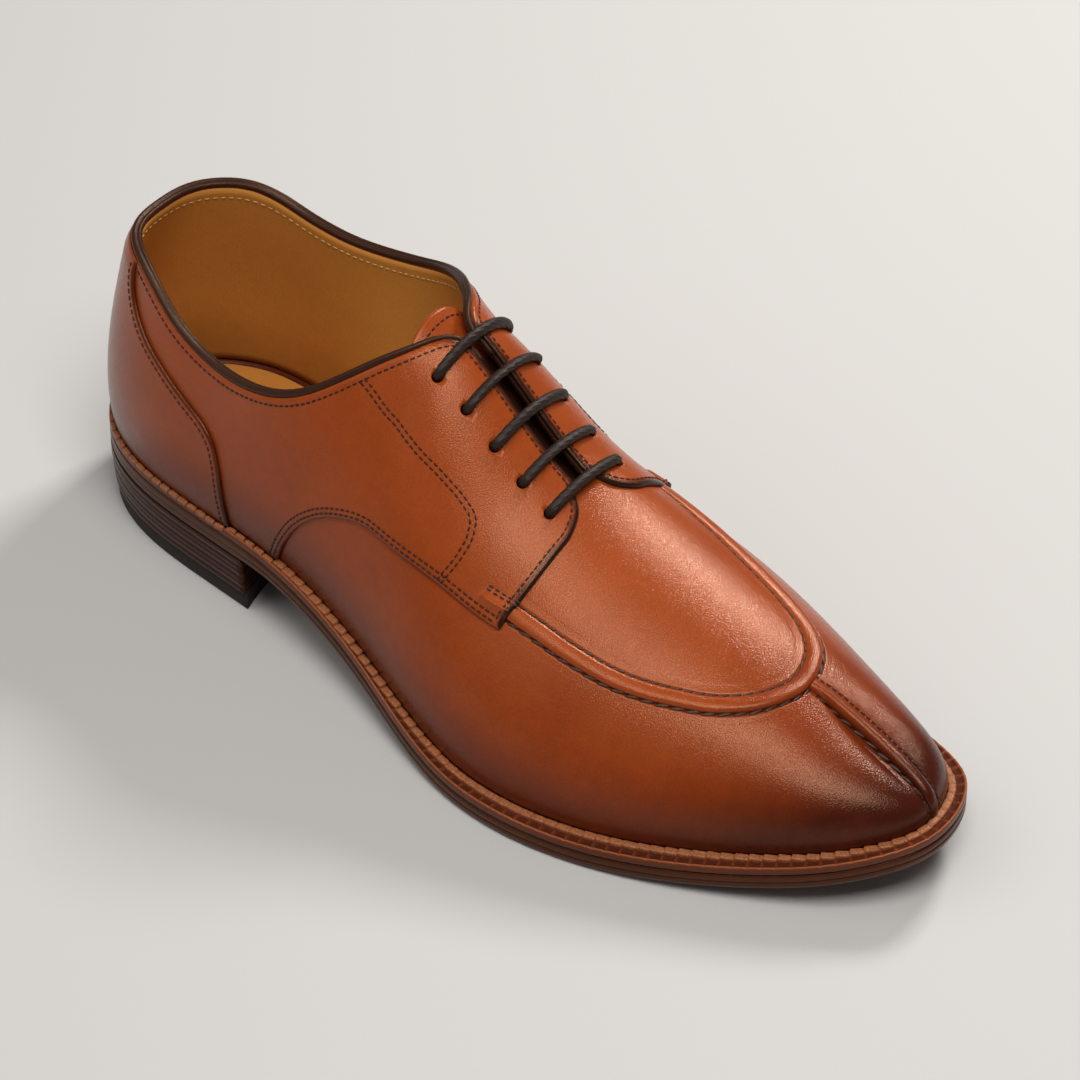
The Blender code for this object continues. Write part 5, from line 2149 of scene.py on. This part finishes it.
    def add_lifts(self) -> None:
        """Leather lifts of the heel, each of two layers."""
        thick = (LAST.heel_height - self.top_piece) / self.lifts
        for k in range(self.lifts):
            low = self.top_piece + k * thick + LAST.gap
            high = self.top_piece + (k + 1) * thick - (LAST.gap if k == self.lifts - 1 else 0.0)
            inset = self.taper * (1 - (k + 1) / self.lifts)
            half = (low + high) / 2
            lower = [(self.ease, low), (self.corner_in, low + self.corner_up), (0.0, low + self.ease),
                     (0.0, half - self.line_half)]
            upper = [(0.0, half + self.line_half), (0.0, high - self.ease),
                     (self.corner_in, high - self.corner_up), (self.ease, high)]
            shape = lower + [(self.line_in, half)] + upper
            loops = [self.heel_loop(inset + step, z) for step, z in shape]
            piece = loft(f"heel_lift_{k + 1}", loops, self.bench.finishes.of(HEEL_STACK), ladder=False)
            tones = [self.line_tone if step > self.corner_in else self.lift_tone for step, _ in shape]
            write_tones(piece, np.repeat(tones, len(loops[0])))
            settle(piece, "heel_leather", f"heel_lift_{k + 1}")

    def build(self) -> None:
        """Make the sole's pieces."""
        self.add_outsole()
        self.add_welt()
        self.add_insole()
        self.add_top_piece()
        self.add_lifts()


# Studio
class Lamp(Enum):
    """Kind of lamp."""

    SQUARE = "AREA"
    FAR = "SUN"


@dataclass
class Studio:
    """Pale floor, soft lights and the camera at the photograph's angle."""

    azimuth: float = 39.43
    elevation: float = 41.68
    distance: float = 1499.0
    target: tuple = (-2.5, 6.2, 30.0)
    lens: float = 172.0
    sensor: float = 36.0
    shift_x: float = 0.025
    shift_y: float = 0.03
    floor_half: float = 6.0
    floor_colour: Colour = (0.55, 0.54, 0.53)
    floor_rough: float = 0.8
    floor_shine: float = 0.1
    ambient: float = 0.13
    ambient_colour: Colour = (1.0, 0.985, 0.97)
    transform: str = "Standard"
    lamps: tuple = (
        # name, kind, place, size in metres or spread in degrees, power, colour
        ("key", Lamp.SQUARE, (-0.04, 0.90, 0.92), 0.30, 11.0, (1.0, 0.97, 0.93)),
        ("top", Lamp.SQUARE, (0.45, -0.34, 1.40), 0.7, 15.0, (1.0, 0.98, 0.95)),
        ("fill", Lamp.FAR, (-0.8, -0.9, 1.3), 50.0, 0.65, (1.0, 0.98, 0.96)))

    def add_floor(self) -> None:
        """Plain pale floor."""
        mesh = bpy.data.meshes.new("floor")
        half = self.floor_half
        corners = [(-half, -half, 0), (half, -half, 0), (half, half, 0), (-half, half, 0)]
        mesh.from_pydata(corners, [], [(0, 1, 2, 3)])
        material = bpy.data.materials.new("pale_floor")
        material.use_nodes = True
        shader = material.node_tree.nodes["Principled BSDF"]
        finish = {"Base Color": self.floor_colour, "Roughness": self.floor_rough,
                  "Specular IOR Level": self.floor_shine}
        NodeSheet(material.node_tree).feed(shader, finish)
        mesh.materials.append(material)
        add_object("floor", mesh)

    def add_light(self, name: str, kind: Lamp, place: tuple, size: float, power: float,
                  colour: Colour) -> None:
        """Soft lamp that faces the shoe; a far one keeps the whole floor pale.

        Args:
            name: Its name.
            kind: Its kind.
            place: Where it stands, or the side that a far one shines from.
            size: Size of a square lamp, or spread of a far one in degrees.
            power: Its power.
            colour: Its colour.
        """
        lamp = bpy.data.lights.new(name, kind.value)
        lamp.energy = power
        lamp.color = colour
        if kind is Lamp.FAR:
            lamp.angle = math.radians(size)
        else:
            lamp.size = size
        item = add_object(name, lamp)
        item.location = place
        item.rotation_euler = (-Vector(place)).to_track_quat("-Z", "Y").to_euler()

    def add_camera(self) -> None:
        """Camera at the photograph's angle to the shoe."""
        turn, tilt = math.radians(self.azimuth), math.radians(self.elevation)
        back = Vector((math.sin(turn) * math.cos(tilt), -math.cos(turn) * math.cos(tilt), math.sin(tilt)))
        data = bpy.data.cameras.new("camera")
        data.lens = self.lens
        data.sensor_width = self.sensor
        data.shift_x = self.shift_x
        data.shift_y = self.shift_y
        camera = add_object("camera", data)
        camera.location = (Vector(self.target) + back * self.distance) * MM
        camera.rotation_euler = (-back).to_track_quat("-Z", "Y").to_euler()
        bpy.context.scene.camera = camera

    def build(self) -> None:
        """Set up the studio."""
        self.add_floor()
        for lamp in self.lamps:
            self.add_light(*lamp)
        world = bpy.data.worlds.new("studio")
        world.use_nodes = True
        sky = {"Color": self.ambient_colour, "Strength": self.ambient}
        NodeSheet(world.node_tree).feed(world.node_tree.nodes["Background"], sky)
        bpy.context.scene.world = world
        bpy.context.scene.view_settings.view_transform = self.transform
        self.add_camera()


def main() -> None:
    """Dress the shoe and set up the studio."""
    logging.basicConfig(level=logging.INFO, format="%(name)s %(message)s")
    finishes = Finishes()
    bench = Bench(finishes, StitchWork(finishes), TopView())
    Studio().build()
    Sole(bench).build()
    seam = ApronSeam(bench)
    lacing = Lacing(bench)
    upper = Upper(bench, seam).build()
    quarters = [Quarter(bench, side) for side in Side]
    panels = [quarter.build() for quarter in quarters]
    lacing.punch([upper] + panels)
    settle(upper, "tan_calf", "upper")
    for quarter, panel in zip(quarters, panels):
        settle(panel, "tan_calf", quarter.panel.name)
        quarter.add_rows()
    seam.build()
    Counter(bench).build()
    Collar(bench).build()
    Tongue(bench, lacing).build()
    lacing.build()
    bench.work.sew()


if __name__ == "__main__":
    main()
